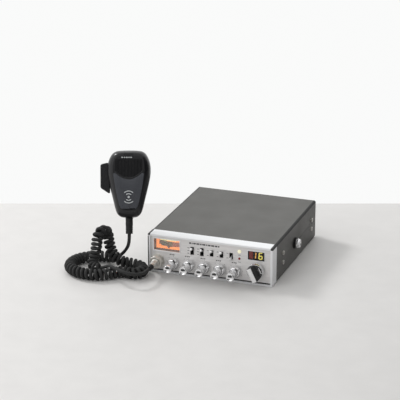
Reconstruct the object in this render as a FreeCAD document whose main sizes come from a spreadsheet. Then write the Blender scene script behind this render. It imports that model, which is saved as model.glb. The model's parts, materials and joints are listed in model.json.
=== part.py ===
import FreeCAD, Part
import math
import os
import re
import Sketcher

# Mobile transceiver with a hand microphone on a curly cord.
# Millimetres. +Z is up, the front panel faces -Y, and the origin is the centre of the bottom face.

App = FreeCAD
Vector = App.Vector
document = App.newDocument("Transceiver")

SIZES = {
    # case
    "case_width": 184, "case_height": 57, "front": -105, "rear": 105, "sheet": 1.2, "bend": 3,
    "seam": 27.8, "seam_gap": 0.4, "joint_gap": 0.2,
    # front bezel and faceplate
    "bezel_depth": 18, "rim_side": 3.5, "rim_end": 3, "face_recess": 2, "face_thick": 1.5, "ledge": 2.5,
    "corner": 2.5, "edge_bevel": 0.7,
    # chassis frame
    "frame_thick": 1.6, "frame_low": 4, "frame_high": 53, "shelf": 6, "panel_thick": 2,
    "front_board_half": 84, "front_board_low": 8, "front_board_high": 49,
    # boards and their components
    "board_level": 29.8, "board_thick": 1.6, "board_half": 85.5, "board_front": -82, "board_back": 96,
    "can_half": 5, "can_tall": 13, "capacitor_radius": 5, "capacitor_tall": 18,
    "sink_left": 10, "sink_right": 70, "sink_front": 78, "sink_web": 4, "sink_fin": 9, "sink_tall": 20,
    "fin_thick": 2, "fin_pitch": 8,
    # row of five small knobs
    "knob_row": 16, "knob_first": -54.5, "knob_pitch": 23, "skirt_radius": 8.5, "skirt_depth": 5,
    "neck_radius": 5.4, "barrel_radius": 6.2, "knob_depth": 24.5, "knob_gap": 1, "shaft_radius": 3,
    "shaft_play": 0.05, "pot_radius": 7.8, "pot_depth": 8.5, "bushing_radius": 3.6,
    # channel knob
    "channel_along": 67.6, "channel_row": 21.3, "channel_radius": 12.2, "channel_skirt": 8,
    "channel_depth": 20, "channel_tilt": 26, "grip_width": 8,
    # toggle switches
    "switch_row": 38, "switch_first": -26.6, "switch_pitch": 14.4, "slot_width": 5.4, "slot_long": 12,
    "slot_short": 9.4, "lever_radius": 1.15, "lever_reach": 12.5, "lever_ball": 1.6, "lever_tilt": 20,
    "lever_pivot": 6.5, "lever_pin": 0.7, "pin_half": 2, "switch_wide": 8, "switch_tall": 15,
    "switch_deep": 9, "switch_cavity": 4.4,
    # meter and display windows
    "meter_left": -83.6, "meter_right": -45, "meter_low": 32.6, "meter_high": 50.2, "meter_wall": 1,
    "meter_deep": 9, "scale_thick": 1, "needle_length": 13, "needle_width": 0.8, "needle_low": 36,
    "display_left": 55.2, "display_right": 79.4, "display_low": 36.2, "display_high": 49.4,
    "window_thick": 1.2,
    # lamps
    "lamp_along": 43, "receive_row": 46.2, "transmit_row": 35.8, "receive_radius": 2.4,
    "transmit_radius": 1.6,
    # microphone socket and plug
    "socket_along": -78, "socket_row": 17, "socket_flange": 10, "socket_barrel": 7.7, "socket_bore": 6.6,
    "socket_reach": 7.5, "ring_radius": 9.3, "ring_bore": 8, "ring_depth": 8, "ring_mouth": 6.8,
    "plug_radius": 6.6, "plug_back": 5, "plug_reach": 26, "plug_taper": 6, "boot_radius": 4.2,
    "boot_reach": 35, "pin_circle": 3.6, "pin_radius": 0.8,
    # side hardware
    "bolt_along": -1, "bolt_row": 28.5, "bolt_head": 7, "bolt_grip": 6, "bolt_shank": 2.5,
    "washer_radius": 8.2, "washer_thick": 2, "boss_radius": 5.5, "boss_depth": 3.5, "screw_front": -58,
    "screw_back": 82, "screw_high": 34.5, "screw_low": 20.5, "rear_screw_inset": 6, "rear_screw_low": 10,
    "rear_screw_high": 47, "screw_head": 3, "screw_rise": 1.6, "screw_shank": 1.4,
    # rear connectors
    "antenna_along": 0, "connector_row": 28, "antenna_radius": 7.9, "antenna_reach": 12,
    "antenna_bore": 2.2, "antenna_depth": 7, "antenna_flange": 25.4, "connector_body": 8, "blade_pitch": 5,
    "blade_half": 2, "blade_thick": 0.8, "inlet_along": 62, "inlet_wide": 20, "inlet_tall": 11,
    "inlet_wall": 1.5, "inlet_reach": 9, "jack_along": -40, "jack_pitch": 22, "jack_bore": 1.75,
    "jack_radius": 4, "jack_reach": 3,
    # loudspeaker
    "speaker_along": 20, "speaker_radius": 38, "magnet_radius": 18, "speaker_tall": 24, "speaker_rim": 1.2,
    "basket_tall": 13, "speaker_slot": 2.5, "slot_margin": 8,
    # microphone
    "shell_tall": 94.5, "shell_half": 30.8, "shell_waist": 66, "shell_top": 23, "shell_foot": 18,
    "shell_base": 9, "foot_rise": 7, "shell_front": 19, "shell_back": 15, "shell_wall": 2.4,
    "lever_low": 35, "lever_high": 77.5, "ptt_out": 40, "ptt_thick": 13,
    "grille_half": 19, "grille_low": 60, "grille_high": 85, "grille_deep": 1.4,
    "knuckle_inset": 3.2, "knuckle_rise": 2, "knuckle": 2,
    "capsule_row": 74, "capsule_radius": 9, "button_row": 56, "button_radius": 8, "button_neck": 2,
    "button_rise": 5.4, "button_head": 3, "microphone_screw": 2.4,
    "boot_length": 22, "cord_boot": 5.2, "microphone_turn": 20, "microphone_lean": 17,
    "microphone_x": -119.7, "microphone_y": -104.95, "microphone_z": 76.04,
    # cord
    "wire": 4.8, "coil": 16.5,
}

sizes = document.addObject("Spreadsheet::Sheet", "Sizes")
for row, (name, value) in enumerate(SIZES.items(), start=1):
    sizes.set(f"A{row}", name)
    sizes.set(f"B{row}", str(value))
    sizes.setAlias(f"B{row}", name)
document.recompute()

SUBPARTS = []


def formula(text):
    """Write a sum of named sizes as an expression on the sheet."""
    return re.sub(r"[a-z_]+", lambda word: f"Sizes.{word[0]}" if word[0] in SIZES else word[0], str(text))


def number(text):
    """Work out a sum of named sizes."""
    return float(sizes.evalExpression(formula(text)))


def turn_about(axis, angle):
    """Return a turn about an axis by an angle in degrees."""
    return App.Rotation(axis, number(angle))


def new_body(label, x="0", y="0", z="0", turn=None):
    """Start a sub-part at a place, with its own turn."""
    body = document.addObject("PartDesign::Body", label)
    body.Label = label
    body.AllowCompound = True
    if turn:
        body.Placement.Rotation = turn
    for axis, place in zip("xyz", (x, y, z)):
        body.setExpression(f".Placement.Base.{axis}", formula(place))
    SUBPARTS.append(body)
    return body


def origin_plane(body, role):
    return next(item for item in body.Origin.OriginFeatures if item.Role == role)


def fix(sketch, geometry, point, x, y):
    """Hold one point of a sketch at a place given by the sheet."""
    for kind, place in (("DistanceX", x), ("DistanceY", y)):
        index = sketch.addConstraint(Sketcher.Constraint(kind, -1, 1, geometry, point, number(place)))
        sketch.setExpression(f"Constraints[{index}]", formula(place))


def polygon(points):
    """Return a drawer of a closed outline through the given corners."""
    def draw(sketch):
        corners = [Vector(number(x), number(y), 0) for x, y in points]
        first = sketch.GeometryCount
        count = len(corners)
        for index in range(count):
            sketch.addGeometry(Part.LineSegment(corners[index], corners[(index + 1) % count]))
        for index in range(count):
            after = first + (index + 1) % count
            sketch.addConstraint(Sketcher.Constraint("Coincident", first + index, 2, after, 1))
        for index, (x, y) in enumerate(points):
            fix(sketch, first + index, 1, x, y)
    return draw


def rectangle(left, low, right, high):
    return polygon([(left, low), (right, low), (right, high), (left, high)])


def circle(x, y, radius):
    """Return a drawer of a circle."""
    def draw(sketch):
        geometry = sketch.addGeometry(Part.Circle(Vector(number(x), number(y), 0), Vector(0, 0, 1),
                                                  number(radius)))
        fix(sketch, geometry, 3, x, y)
        index = sketch.addConstraint(Sketcher.Constraint("Radius", geometry, number(radius)))
        sketch.setExpression(f"Constraints[{index}]", formula(radius))
    return draw


def add_sketch(body, role, level, outlines):
    sketch = body.newObject("Sketcher::SketchObject", "Outline")
    sketch.AttachmentSupport = [(origin_plane(body, role), "")]
    sketch.MapMode = "FlatFace"
    sketch.setExpression(".AttachmentOffset.Base.z", formula(level))
    for draw in outlines:
        draw(sketch)
    return sketch


def pad(body, role, level, length, outlines):
    """Add material from a plane at level, along the plane's normal."""
    feature = body.newObject("PartDesign::Pad", "Pad")
    feature.Profile = add_sketch(body, role, level, outlines)
    feature.setExpression("Length", formula(length))
    document.recompute()
    return feature


def pocket(body, role, level, length, outlines):
    """Cut from a plane at level, against the plane's normal, and make sure that something went."""
    before = body.Shape.Volume
    feature = body.newObject("PartDesign::Pocket", "Pocket")
    feature.Profile = add_sketch(body, role, level, outlines)
    feature.setExpression("Length", formula(length))
    document.recompute()
    if body.Shape.Volume > before - 0.01:
        raise RuntimeError(f"{body.Label}: a pocket cut nothing")
    return feature


def turned(body, role, profile):
    """Turn a profile of (radius, place along the axis) about the sketch's upright axis."""
    feature = body.newObject("PartDesign::Revolution", "Turned")
    feature.Profile = add_sketch(body, role, "0", [polygon(profile)])
    feature.ReferenceAxis = (feature.Profile[0], ["V_Axis"])
    feature.Angle = 360
    document.recompute()
    return feature


def round_edges(body, radius, wanted, kind="Fillet"):
    """Round or bevel the edges of the body's last feature that the test picks."""
    base = body.Tip
    names = [f"Edge{index}" for index, edge in enumerate(base.Shape.Edges, start=1) if wanted(edge)]
    if not names:
        raise RuntimeError(f"{body.Label}: no edge to round")
    feature = body.newObject(f"PartDesign::{kind}", kind)
    feature.Base = (base, names)
    feature.setExpression("Radius" if kind == "Fillet" else "Size", formula(radius))
    document.recompute()
    return feature


def ends(edge):
    return [vertex.Point for vertex in edge.Vertexes]


def runs_along(edge, axis):
    """True for a straight edge along the axis with that index."""
    if len(edge.Vertexes) != 2:
        return False
    step = ends(edge)[1] - ends(edge)[0]
    return abs(abs(step[axis]) - step.Length) < 1e-6


def lies_at(edge, axis, place):
    return all(abs(point[axis] - place) < 1e-6 for point in ends(edge))


# Front panels -------------------------------------------------------------------------------

HALF = "case_width / 2"
FACE_FRONT = "-front - face_recess"
FACE_BACK = "-front - face_recess - face_thick"
BOARD_FRONT = "-front - 13.5"
KNOB_PLACES = [f"knob_first + {index} * knob_pitch" for index in range(5)]
SWITCH_PLACES = [f"switch_first + {index} * switch_pitch" for index in range(5)]
LONG_SLOTS = 2


def make_bezel():
    body = new_body("front_bezel")
    pad(body, "XZ_Plane", "-front - bezel_depth", "bezel_depth",
        [rectangle(f"-{HALF}", "0", HALF, "case_height")])
    round_edges(body, "corner", lambda edge: runs_along(edge, 1))
    round_edges(body, "edge_bevel", lambda edge: lies_at(edge, 1, number("front")), "Chamfer")
    pocket(body, "XZ_Plane", "-front + 1", "1 + face_recess + face_thick",
           [rectangle(f"-{HALF} + rim_side", "rim_end", f"{HALF} - rim_side", "case_height - rim_end")])
    pocket(body, "XZ_Plane", "-front + 1", "bezel_depth + 2",
           [rectangle(f"-{HALF} + rim_side + ledge", "rim_end + ledge",
                      f"{HALF} - rim_side - ledge", "case_height - rim_end - ledge")])


def slot_half(index):
    return "slot_long / 2" if index < LONG_SLOTS else "slot_short / 2"


def make_faceplate():
    body = new_body("faceplate")
    inset = "rim_side - joint_gap"
    pad(body, "XZ_Plane", FACE_BACK, "face_thick",
        [rectangle(f"-{HALF} + rim_side + joint_gap", "rim_end + joint_gap",
                   f"{HALF} - {inset} - 2 * joint_gap", "case_height - rim_end - joint_gap")])
    holes = [circle(place, "knob_row", "bushing_radius + joint_gap") for place in KNOB_PLACES]
    holes.append(circle("channel_along", "channel_row", "bushing_radius + joint_gap"))
    holes.append(circle("socket_along", "socket_row", "socket_barrel + joint_gap"))
    holes.append(circle("lamp_along", "receive_row", "receive_radius + joint_gap / 2"))
    holes.append(circle("lamp_along", "transmit_row", "transmit_radius + joint_gap / 2"))
    holes.append(rectangle("meter_left", "meter_low", "meter_right", "meter_high"))
    holes.append(rectangle("display_left", "display_low", "display_right", "display_high"))
    for index, place in enumerate(SWITCH_PLACES):
        half = slot_half(index)
        holes.append(rectangle(f"{place} - slot_width / 2", f"switch_row - {half}",
                               f"{place} + slot_width / 2", f"switch_row + {half}"))
    pocket(body, "XZ_Plane", f"{FACE_FRONT} + 1", "face_thick + 2", holes)


def make_front_board():
    body = new_body("front_board")
    pad(body, "XZ_Plane", f"{BOARD_FRONT} - board_thick", "board_thick",
        [rectangle("-front_board_half", "front_board_low", "front_board_half", "front_board_high")])


def make_pots():
    """Five rotary controls, each a round case with a threaded bushing and a bore for its spindle."""
    body = new_body("control_pots")
    top = f"{FACE_BACK} - joint_gap"
    pad(body, "XZ_Plane", BOARD_FRONT, f"{top} - ({BOARD_FRONT})",
        [circle(place, "knob_row", "pot_radius") for place in KNOB_PLACES])
    pad(body, "XZ_Plane", top, "face_thick + joint_gap + 0.6",
        [circle(place, "knob_row", "bushing_radius") for place in KNOB_PLACES])
    pocket(body, "XZ_Plane", f"{FACE_FRONT} + 2", "2 + face_thick + joint_gap + pot_depth - 2",
           [circle(place, "knob_row", "shaft_radius + shaft_play") for place in KNOB_PLACES])


def make_channel_switch():
    body = new_body("channel_switch")
    top = f"{FACE_BACK} - joint_gap"
    pad(body, "XZ_Plane", BOARD_FRONT, f"{top} - ({BOARD_FRONT})",
        [circle("channel_along", "channel_row", "channel_radius - 1")])
    pad(body, "XZ_Plane", top, "face_thick + joint_gap + 0.6",
        [circle("channel_along", "channel_row", "bushing_radius")])
    pocket(body, "XZ_Plane", f"{FACE_FRONT} + 2", "2 + face_thick + joint_gap + pot_depth - 2",
           [circle("channel_along", "channel_row", "shaft_radius + shaft_play")])


def make_toggle_bodies():
    """Five switch cases, each with a cavity in which its lever swings."""
    body = new_body("toggle_bodies")
    top = f"{FACE_BACK} - joint_gap"
    pad(body, "XZ_Plane", BOARD_FRONT, f"{top} - ({BOARD_FRONT})",
        [rectangle(f"{place} - switch_wide / 2", "switch_row - switch_tall / 2 + 1",
                   f"{place} + switch_wide / 2", "switch_row + switch_tall / 2 - 1")
         for place in SWITCH_PLACES])
    pocket(body, "XZ_Plane", f"{top} + 1", "switch_deep - 0.4",
           [rectangle(f"{place} - switch_cavity / 2", "switch_row - 5.5",
                      f"{place} + switch_cavity / 2", "switch_row + 5.5") for place in SWITCH_PLACES])


# Moving controls ----------------------------------------------------------------------------

KNOB_BACK = "front + face_recess - knob_gap"


def make_small_knob(label, place):
    """A stepped knob: skirt, waist, barrel with a rim, and the spindle that it is fixed to."""
    body = new_body(label, x=place, z="knob_row")
    tip = f"{KNOB_BACK} - knob_depth"
    turned(body, "XY_Plane", [
        ("0", f"{tip} + 1"), ("barrel_radius - 1.4", f"{tip} + 1"), ("barrel_radius - 1.4", tip),
        ("barrel_radius - 0.5", tip), ("barrel_radius", f"{tip} + 0.5"), ("barrel_radius", f"{tip} + 11"),
        ("neck_radius", f"{tip} + 12.5"), ("neck_radius + 0.6", f"{KNOB_BACK} - skirt_depth - 1"),
        ("skirt_radius - 1.2", f"{KNOB_BACK} - skirt_depth"),
        ("skirt_radius", f"{KNOB_BACK} - skirt_depth + 1.4"), ("skirt_radius", KNOB_BACK),
        ("shaft_radius", KNOB_BACK), ("shaft_radius", f"{KNOB_BACK} + 7.5"), ("0", f"{KNOB_BACK} + 7.5")])


def make_channel_knob():
    """A round skirt with a raised bar across it, turned as one piece with its spindle."""
    body = new_body("channel_knob", x="channel_along", z="channel_row",
                    turn=turn_about(Vector(0, 1, 0), "-channel_tilt"))
    turned(body, "XY_Plane", [
        ("0", f"{KNOB_BACK} - channel_skirt"), ("channel_radius - 1", f"{KNOB_BACK} - channel_skirt"),
        ("channel_radius", f"{KNOB_BACK} - channel_skirt + 1"), ("channel_radius", KNOB_BACK),
        ("shaft_radius", KNOB_BACK), ("shaft_radius", f"{KNOB_BACK} + 7.5"), ("0", f"{KNOB_BACK} + 7.5")])
    pad(body, "XZ_Plane", f"-({KNOB_BACK}) + channel_skirt - 0.5", "channel_depth - channel_skirt + 0.5",
        [rectangle("-grip_width / 2", "-channel_radius + 1.4", "grip_width / 2", "channel_radius - 1.4")])
    face = number(f"{KNOB_BACK} - channel_depth")
    round_edges(body, "1.2", lambda edge: lies_at(edge, 1, face))


def make_toggle_lever(label, place, tilt):
    """A bat lever on a ball with a cross pin, stored tilted up or down about the pin."""
    body = new_body(label, x=place, y=f"-({FACE_FRONT}) + lever_pivot", z="switch_row",
                    turn=turn_about(Vector(1, 0, 0), f"{tilt} * lever_tilt"))
    turned(body, "XY_Plane", [
        ("0", "lever_ball"), ("lever_ball * 0.7", "lever_ball * 0.7"), ("lever_ball", "0"),
        ("lever_ball * 0.7", "-lever_ball * 0.7"), ("lever_radius * 0.8", "-lever_ball - 0.6"),
        ("lever_radius", "-lever_reach + 1"), ("lever_radius * 0.6", "-lever_reach"),
        ("0", "-lever_reach")])
    pad(body, "YZ_Plane", "-pin_half", "2 * pin_half", [circle("0", "0", "lever_pin")])


# Meter, display and lamps -------------------------------------------------------------------

METER_TOP = f"{FACE_BACK} - joint_gap"
METER_MIDDLE = "(meter_left + meter_right) / 2"


def make_meter():
    case = new_body("meter_case")
    pad(case, "XZ_Plane", f"{METER_TOP} - meter_deep", "meter_deep",
        [rectangle("meter_left - meter_wall", "meter_low - meter_wall", "meter_right + meter_wall",
                   "meter_high + meter_wall")])
    pocket(case, "XZ_Plane", f"{METER_TOP} + 1", "meter_deep - meter_wall + 1",
           [rectangle("meter_left", "meter_low", "meter_right", "meter_high")])
    scale = new_body("meter_scale")
    pad(scale, "XZ_Plane", f"{METER_TOP} - meter_deep + meter_wall", "scale_thick",
        [rectangle("meter_left + joint_gap", "meter_low + joint_gap", "meter_right - joint_gap",
                   "meter_high - joint_gap")])
    pocket(scale, "XZ_Plane", f"{METER_TOP} - 1", "meter_deep", [circle(METER_MIDDLE, "needle_low", "0.75")])
    lens = new_body("meter_lens")
    pad(lens, "XZ_Plane", f"{METER_TOP} - window_thick", "window_thick + joint_gap + face_thick + 0.3",
        [rectangle("meter_left + joint_gap", "meter_low + joint_gap", "meter_right - joint_gap",
                   "meter_high - joint_gap")])
    lens_front = number("front + face_recess - 0.3")
    round_edges(lens, "1", lambda edge: lies_at(edge, 1, lens_front), "Chamfer")


def make_needle():
    """A flat pointer on a small hub, whose pivot turns in the scale plate."""
    body = new_body("meter_needle", x=METER_MIDDLE, z="needle_low")
    floor = f"{METER_TOP} - meter_deep + meter_wall + scale_thick"
    pad(body, "XZ_Plane", f"{floor} + 0.3", "1.2", [circle("0", "0", "1.6")])
    pad(body, "XZ_Plane", f"{floor} + 0.6", "0.5",
        [polygon([("-needle_width / 2 - 1.2", "0.9"), ("-0.9", "-1.2"),
                  ("-needle_length * 0.72", "needle_length * 0.66"),
                  ("-needle_length * 0.76", "needle_length * 0.62")])])
    pad(body, "XZ_Plane", f"{floor} - scale_thick + 0.2", "scale_thick + 0.5", [circle("0", "0", "0.7")])


def make_display():
    module = new_body("channel_display")
    pad(module, "XZ_Plane", BOARD_FRONT, f"{METER_TOP} - ({BOARD_FRONT})",
        [rectangle("display_left + joint_gap", "display_low + joint_gap", "display_right - joint_gap",
                   "display_high - joint_gap")])
    window = new_body("display_window")
    pad(window, "XZ_Plane", METER_TOP, "joint_gap + face_thick + 0.2",
        [rectangle("display_left + joint_gap / 2", "display_low + joint_gap / 2",
                   "display_right - joint_gap / 2", "display_high - joint_gap / 2")])


def make_lamp(label, row_name, radius):
    """A round lamp with a domed front and a flange behind the faceplate."""
    body = new_body(label, x="lamp_along", z=row_name)
    face = "front + face_recess"
    turned(body, "XY_Plane", [
        ("0", f"{face} - 1.8"), (f"{radius} * 0.6", f"{face} - 1.5"), (radius, f"{face} - 0.6"),
        (radius, f"{face} + face_thick + joint_gap"),
        (f"{radius} + 0.5", f"{face} + face_thick + joint_gap"),
        (f"{radius} + 0.5", f"{face} + face_thick + 1.4"), ("0", f"{face} + face_thick + 1.4")])


# Case ---------------------------------------------------------------------------------------

COVER_FRONT = "-front - bezel_depth - joint_gap"
COVER_LENGTH = "rear - front - bezel_depth - joint_gap - 1"
FRAME_HALF = f"{HALF} - sheet - joint_gap"


def side_holes(rows):
    holes = [circle(place, row, "screw_shank + joint_gap")
             for place in ("screw_front", "screw_back") for row in rows]
    return holes + [circle("bolt_along", "bolt_row", "bolt_shank + 0.8")]


def make_cover(label, profile, corner_height, rows):
    """A folded sheet, like a channel, with screw holes and half of the bolt hole in its sides."""
    body = new_body(label)
    pad(body, "XZ_Plane", f"{COVER_FRONT} - ({COVER_LENGTH})", COVER_LENGTH, [polygon(profile)])
    outer = number(HALF)
    inner = number(f"{HALF} - sheet")
    outer_height = number(corner_height[0])
    inner_height = number(corner_height[1])

    def corner_at(edge, along, up):
        return (runs_along(edge, 1) and abs(abs(ends(edge)[0].x) - along) < 1e-6
                and abs(ends(edge)[0].z - up) < 1e-6)
    round_edges(body, "bend", lambda edge: corner_at(edge, outer, outer_height))
    round_edges(body, "bend - sheet", lambda edge: corner_at(edge, inner, inner_height))
    pocket(body, "YZ_Plane", f"{HALF} + 1", "case_width + 2", side_holes(rows))
    return body


def make_top_cover():
    low = "seam + seam_gap"
    make_cover("top_cover", [
        (f"-{HALF}", low), (f"-{HALF} + sheet", low), (f"-{HALF} + sheet", "case_height - sheet"),
        (f"{HALF} - sheet", "case_height - sheet"), (f"{HALF} - sheet", low), (HALF, low),
        (HALF, "case_height"), (f"-{HALF}", "case_height")],
        ("case_height", "case_height - sheet"), ["screw_high"])


def make_bottom_cover():
    body = make_cover("bottom_cover", [
        (f"-{HALF}", "seam"), (f"-{HALF}", "0"), (HALF, "0"), (HALF, "seam"), (f"{HALF} - sheet", "seam"),
        (f"{HALF} - sheet", "sheet"), (f"-{HALF} + sheet", "sheet"), (f"-{HALF} + sheet", "seam")],
        ("0", "sheet"), ["screw_low"])
    slot_count = 9
    slot_pitch = 6
    slots = []
    for index in range(slot_count):
        offset = (index - (slot_count - 1) / 2) * slot_pitch
        reach = math.sqrt((SIZES["speaker_radius"] - SIZES["slot_margin"]) ** 2 - offset ** 2)
        slots.append(rectangle(f"{-reach:.2f}", f"speaker_along + {offset} - speaker_slot / 2",
                               f"{reach:.2f}", f"speaker_along + {offset} + speaker_slot / 2"))
    pocket(body, "XY_Plane", "sheet + 1", "sheet + 2", slots)


REAR_SCREWS = [(side, level) for side in (f"-{HALF} + rear_screw_inset", f"{HALF} - rear_screw_inset")
               for level in ("rear_screw_low", "rear_screw_high")]
REAR_HOLES = [circle(side, level, "screw_shank") for side, level in REAR_SCREWS]


def make_chassis():
    body = new_body("chassis_frame")
    left = f"-({FRAME_HALF})"
    front_wall = "front + bezel_depth + joint_gap"
    rear_wall = "rear - panel_thick - joint_gap"
    pad(body, "XY_Plane", "frame_low", "frame_high - frame_low",
        [rectangle(left, front_wall, FRAME_HALF, rear_wall),
         rectangle(f"{left} + frame_thick", f"{front_wall} + frame_thick",
                   f"{FRAME_HALF} - frame_thick", f"{rear_wall} - frame_thick")])
    pad(body, "XY_Plane", "board_level - frame_thick", "frame_thick",
        [rectangle(f"{left} + 1", f"{front_wall} + 1", f"{left} + 1 + shelf", f"{rear_wall} - 1"),
         rectangle(f"{FRAME_HALF} - 1 - shelf", f"{front_wall} + 1", f"{FRAME_HALF} - 1",
                   f"{rear_wall} - 1")])
    boss = circle("bolt_along", "bolt_row", "boss_radius")
    pad(body, "YZ_Plane", f"{FRAME_HALF} - frame_thick - boss_depth + 0.5", "boss_depth", [boss])
    pad(body, "YZ_Plane", f"-({FRAME_HALF}) + frame_thick - 0.5", "boss_depth", [boss])
    window = rectangle("-front_board_half + 4", "front_board_low", "front_board_half - 4",
                       "front_board_high")
    pocket(body, "XZ_Plane", "0 - front", "rear - front", [window] + REAR_HOLES)
    pocket(body, "YZ_Plane", f"{HALF} + 1", "case_width + 2",
           [circle("bolt_along", "bolt_row", "bolt_shank + shaft_play")]
           + [circle(place, row_name, "screw_shank") for place in ("screw_front", "screw_back")
              for row_name in ("screw_high", "screw_low")])


def make_rear_panel():
    body = new_body("rear_panel")
    pad(body, "XZ_Plane", "-rear", "panel_thick",
        [rectangle(f"-({FRAME_HALF})", "sheet + 0.3", FRAME_HALF, "case_height - sheet - 0.3")])
    round_edges(body, "bend - sheet + 0.4", lambda edge: runs_along(edge, 1))
    holes = [circle("antenna_along", "connector_row", "antenna_radius + joint_gap"),
             rectangle("inlet_along - inlet_wide / 2 - joint_gap",
                       "connector_row - inlet_tall / 2 - joint_gap",
                       "inlet_along + inlet_wide / 2 + joint_gap",
                       "connector_row + inlet_tall / 2 + joint_gap")]
    holes += [circle(f"jack_along - {index} * jack_pitch", "connector_row", "jack_radius + joint_gap")
              for index in range(2)]
    holes += [circle(side, level, "screw_shank + joint_gap") for side, level in REAR_SCREWS]
    pocket(body, "XZ_Plane", "1 - rear + panel_thick", "panel_thick + 2", holes)


# Side and rear hardware ---------------------------------------------------------------------

def make_cover_screws():
    """Eight pan-head screws that hold the two covers to the frame."""
    body = new_body("cover_screws")
    places = [(along, row_name) for along in ("screw_front", "screw_back")
              for row_name in ("screw_high", "screw_low")]
    for head, shank in ((HALF, f"{HALF} - 2.6"), (f"-{HALF} - screw_rise", f"-{HALF} - 0.2")):
        pad(body, "YZ_Plane", head, "screw_rise", [circle(y, z, "screw_head") for y, z in places])
        pad(body, "YZ_Plane", shank, "2.8", [circle(y, z, "screw_shank - 0.02") for y, z in places])


def make_rear_screws():
    body = new_body("rear_screws")
    pad(body, "XZ_Plane", "-rear - screw_rise", "screw_rise",
        [circle(side, level, "screw_head") for side, level in REAR_SCREWS])
    pad(body, "XZ_Plane", "-rear - 0.2", "panel_thick + 2",
        [circle(side, level, "screw_shank - 0.02") for side, level in REAR_SCREWS])


def make_bolt(side_name, side):
    """A bracket bolt with a broad head."""
    bolt = new_body(f"bracket_bolt_{side_name}", y="bolt_along", z="bolt_row",
                    turn=turn_about(Vector(0, 0, 1), f"{side} * 90"))
    out = "case_width / 2 + washer_thick + joint_gap"
    profile = [("0", f"{out} + bolt_grip"), ("bolt_head - 1", f"{out} + bolt_grip"),
               ("bolt_head", f"{out} + bolt_grip - 1"), ("bolt_head", f"{out} + 1"), ("bolt_head - 1", out),
               ("bolt_shank", out), ("bolt_shank", f"{HALF} - 6"), ("0", f"{HALF} - 6")]
    turned(bolt, "XY_Plane", [(radius, f"-({along})") for radius, along in profile])


def make_washers():
    """A rubber washer under each bolt's head."""
    body = new_body("bolt_washers")
    for level in (HALF, f"-{HALF} - washer_thick"):
        pad(body, "YZ_Plane", level, "washer_thick",
            [circle("bolt_along", "bolt_row", "washer_radius"),
             circle("bolt_along", "bolt_row", "bolt_shank + 0.4")])


def make_antenna_socket():
    body = new_body("antenna_socket", x="antenna_along", z="connector_row")
    pad(body, "XZ_Plane", "-rear - 2", "2",
        [rectangle("-antenna_flange / 2", "-antenna_flange / 2", "antenna_flange / 2",
                   "antenna_flange / 2")])
    pad(body, "XZ_Plane", "-rear - 2 - antenna_reach", "antenna_reach", [circle("0", "0", "antenna_radius")])
    pad(body, "XZ_Plane", "-rear", "connector_body", [circle("0", "0", "antenna_radius - 0.5")])
    pocket(body, "XZ_Plane", "-rear - antenna_reach - 0.5", "2",
           [circle("0", "0", "antenna_radius - 1.6"), circle("0", "0", "antenna_bore + 1")])
    pocket(body, "XZ_Plane", "-rear - 2 - antenna_reach + antenna_depth", "antenna_depth + 1",
           [circle("0", "0", "antenna_bore")])


def make_power_inlet():
    """A shrouded inlet with three blades, open to the rear."""
    body = new_body("power_inlet", x="inlet_along", z="connector_row")
    pad(body, "XZ_Plane", "-rear - inlet_reach", "inlet_reach + connector_body",
        [rectangle("-inlet_wide / 2", "-inlet_tall / 2", "inlet_wide / 2", "inlet_tall / 2")])
    pocket(body, "XZ_Plane", "-rear + 4", "inlet_reach + 4 + 1",
           [rectangle("-inlet_wide / 2 + inlet_wall", "-inlet_tall / 2 + inlet_wall",
                      "inlet_wide / 2 - inlet_wall", "inlet_tall / 2 - inlet_wall")])
    pad(body, "XZ_Plane", "-rear - inlet_reach + 5", "inlet_reach",
        [rectangle(f"{side} * blade_pitch - blade_thick / 2", "-blade_half",
                   f"{side} * blade_pitch + blade_thick / 2", "blade_half") for side in (-1, 0, 1)])


def make_jacks():
    """Two 3.5 mm jack sockets."""
    body = new_body("speaker_jacks")
    places = [f"jack_along - {index} * jack_pitch" for index in range(2)]
    pad(body, "XZ_Plane", "-rear - jack_reach", "jack_reach + connector_body",
        [circle(place, "connector_row", "jack_radius") for place in places])
    pocket(body, "XZ_Plane", "-rear + 10", "jack_reach + 11",
           [circle(place, "connector_row", "jack_bore") for place in places])


# Inside -------------------------------------------------------------------------------------

BOARD_TOP = "board_level + board_thick"
CAN_PLACES = [(x, y) for x in (-60, -40, -20) for y in (-50, -30, 40)]
CAPACITOR_PLACES = [(x, y) for x in (30, 46, 62) for y in (-10, 30)]
FIN_COUNT = 8


def make_main_board():
    body = new_body("main_board")
    pad(body, "XY_Plane", "board_level", "board_thick",
        [rectangle("-board_half", "board_front", "board_half", "board_back")])


def make_tuning_cans():
    body = new_body("tuning_cans")
    pad(body, "XY_Plane", BOARD_TOP, "can_tall",
        [rectangle(f"{x} - can_half", f"{y} - can_half", f"{x} + can_half", f"{y} + can_half")
         for x, y in CAN_PLACES])


def make_capacitors():
    body = new_body("capacitors")
    pad(body, "XY_Plane", BOARD_TOP, "capacitor_tall",
        [circle(x, y, "capacitor_radius") for x, y in CAPACITOR_PLACES])


def make_heat_sink():
    """A finned bar on the main board, near the rear panel."""
    body = new_body("heat_sink")
    web_back = "sink_front + sink_web"
    pad(body, "XY_Plane", BOARD_TOP, "sink_tall",
        [rectangle("sink_left", "sink_front", "sink_right", web_back)])
    fin_lefts = [f"sink_left + fin_thick + {index} * fin_pitch" for index in range(FIN_COUNT)]
    pad(body, "XY_Plane", BOARD_TOP, "sink_tall",
        [rectangle(left, f"{web_back} - 1", f"{left} + fin_thick", f"{web_back} + sink_fin - 1")
         for left in fin_lefts])


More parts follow.
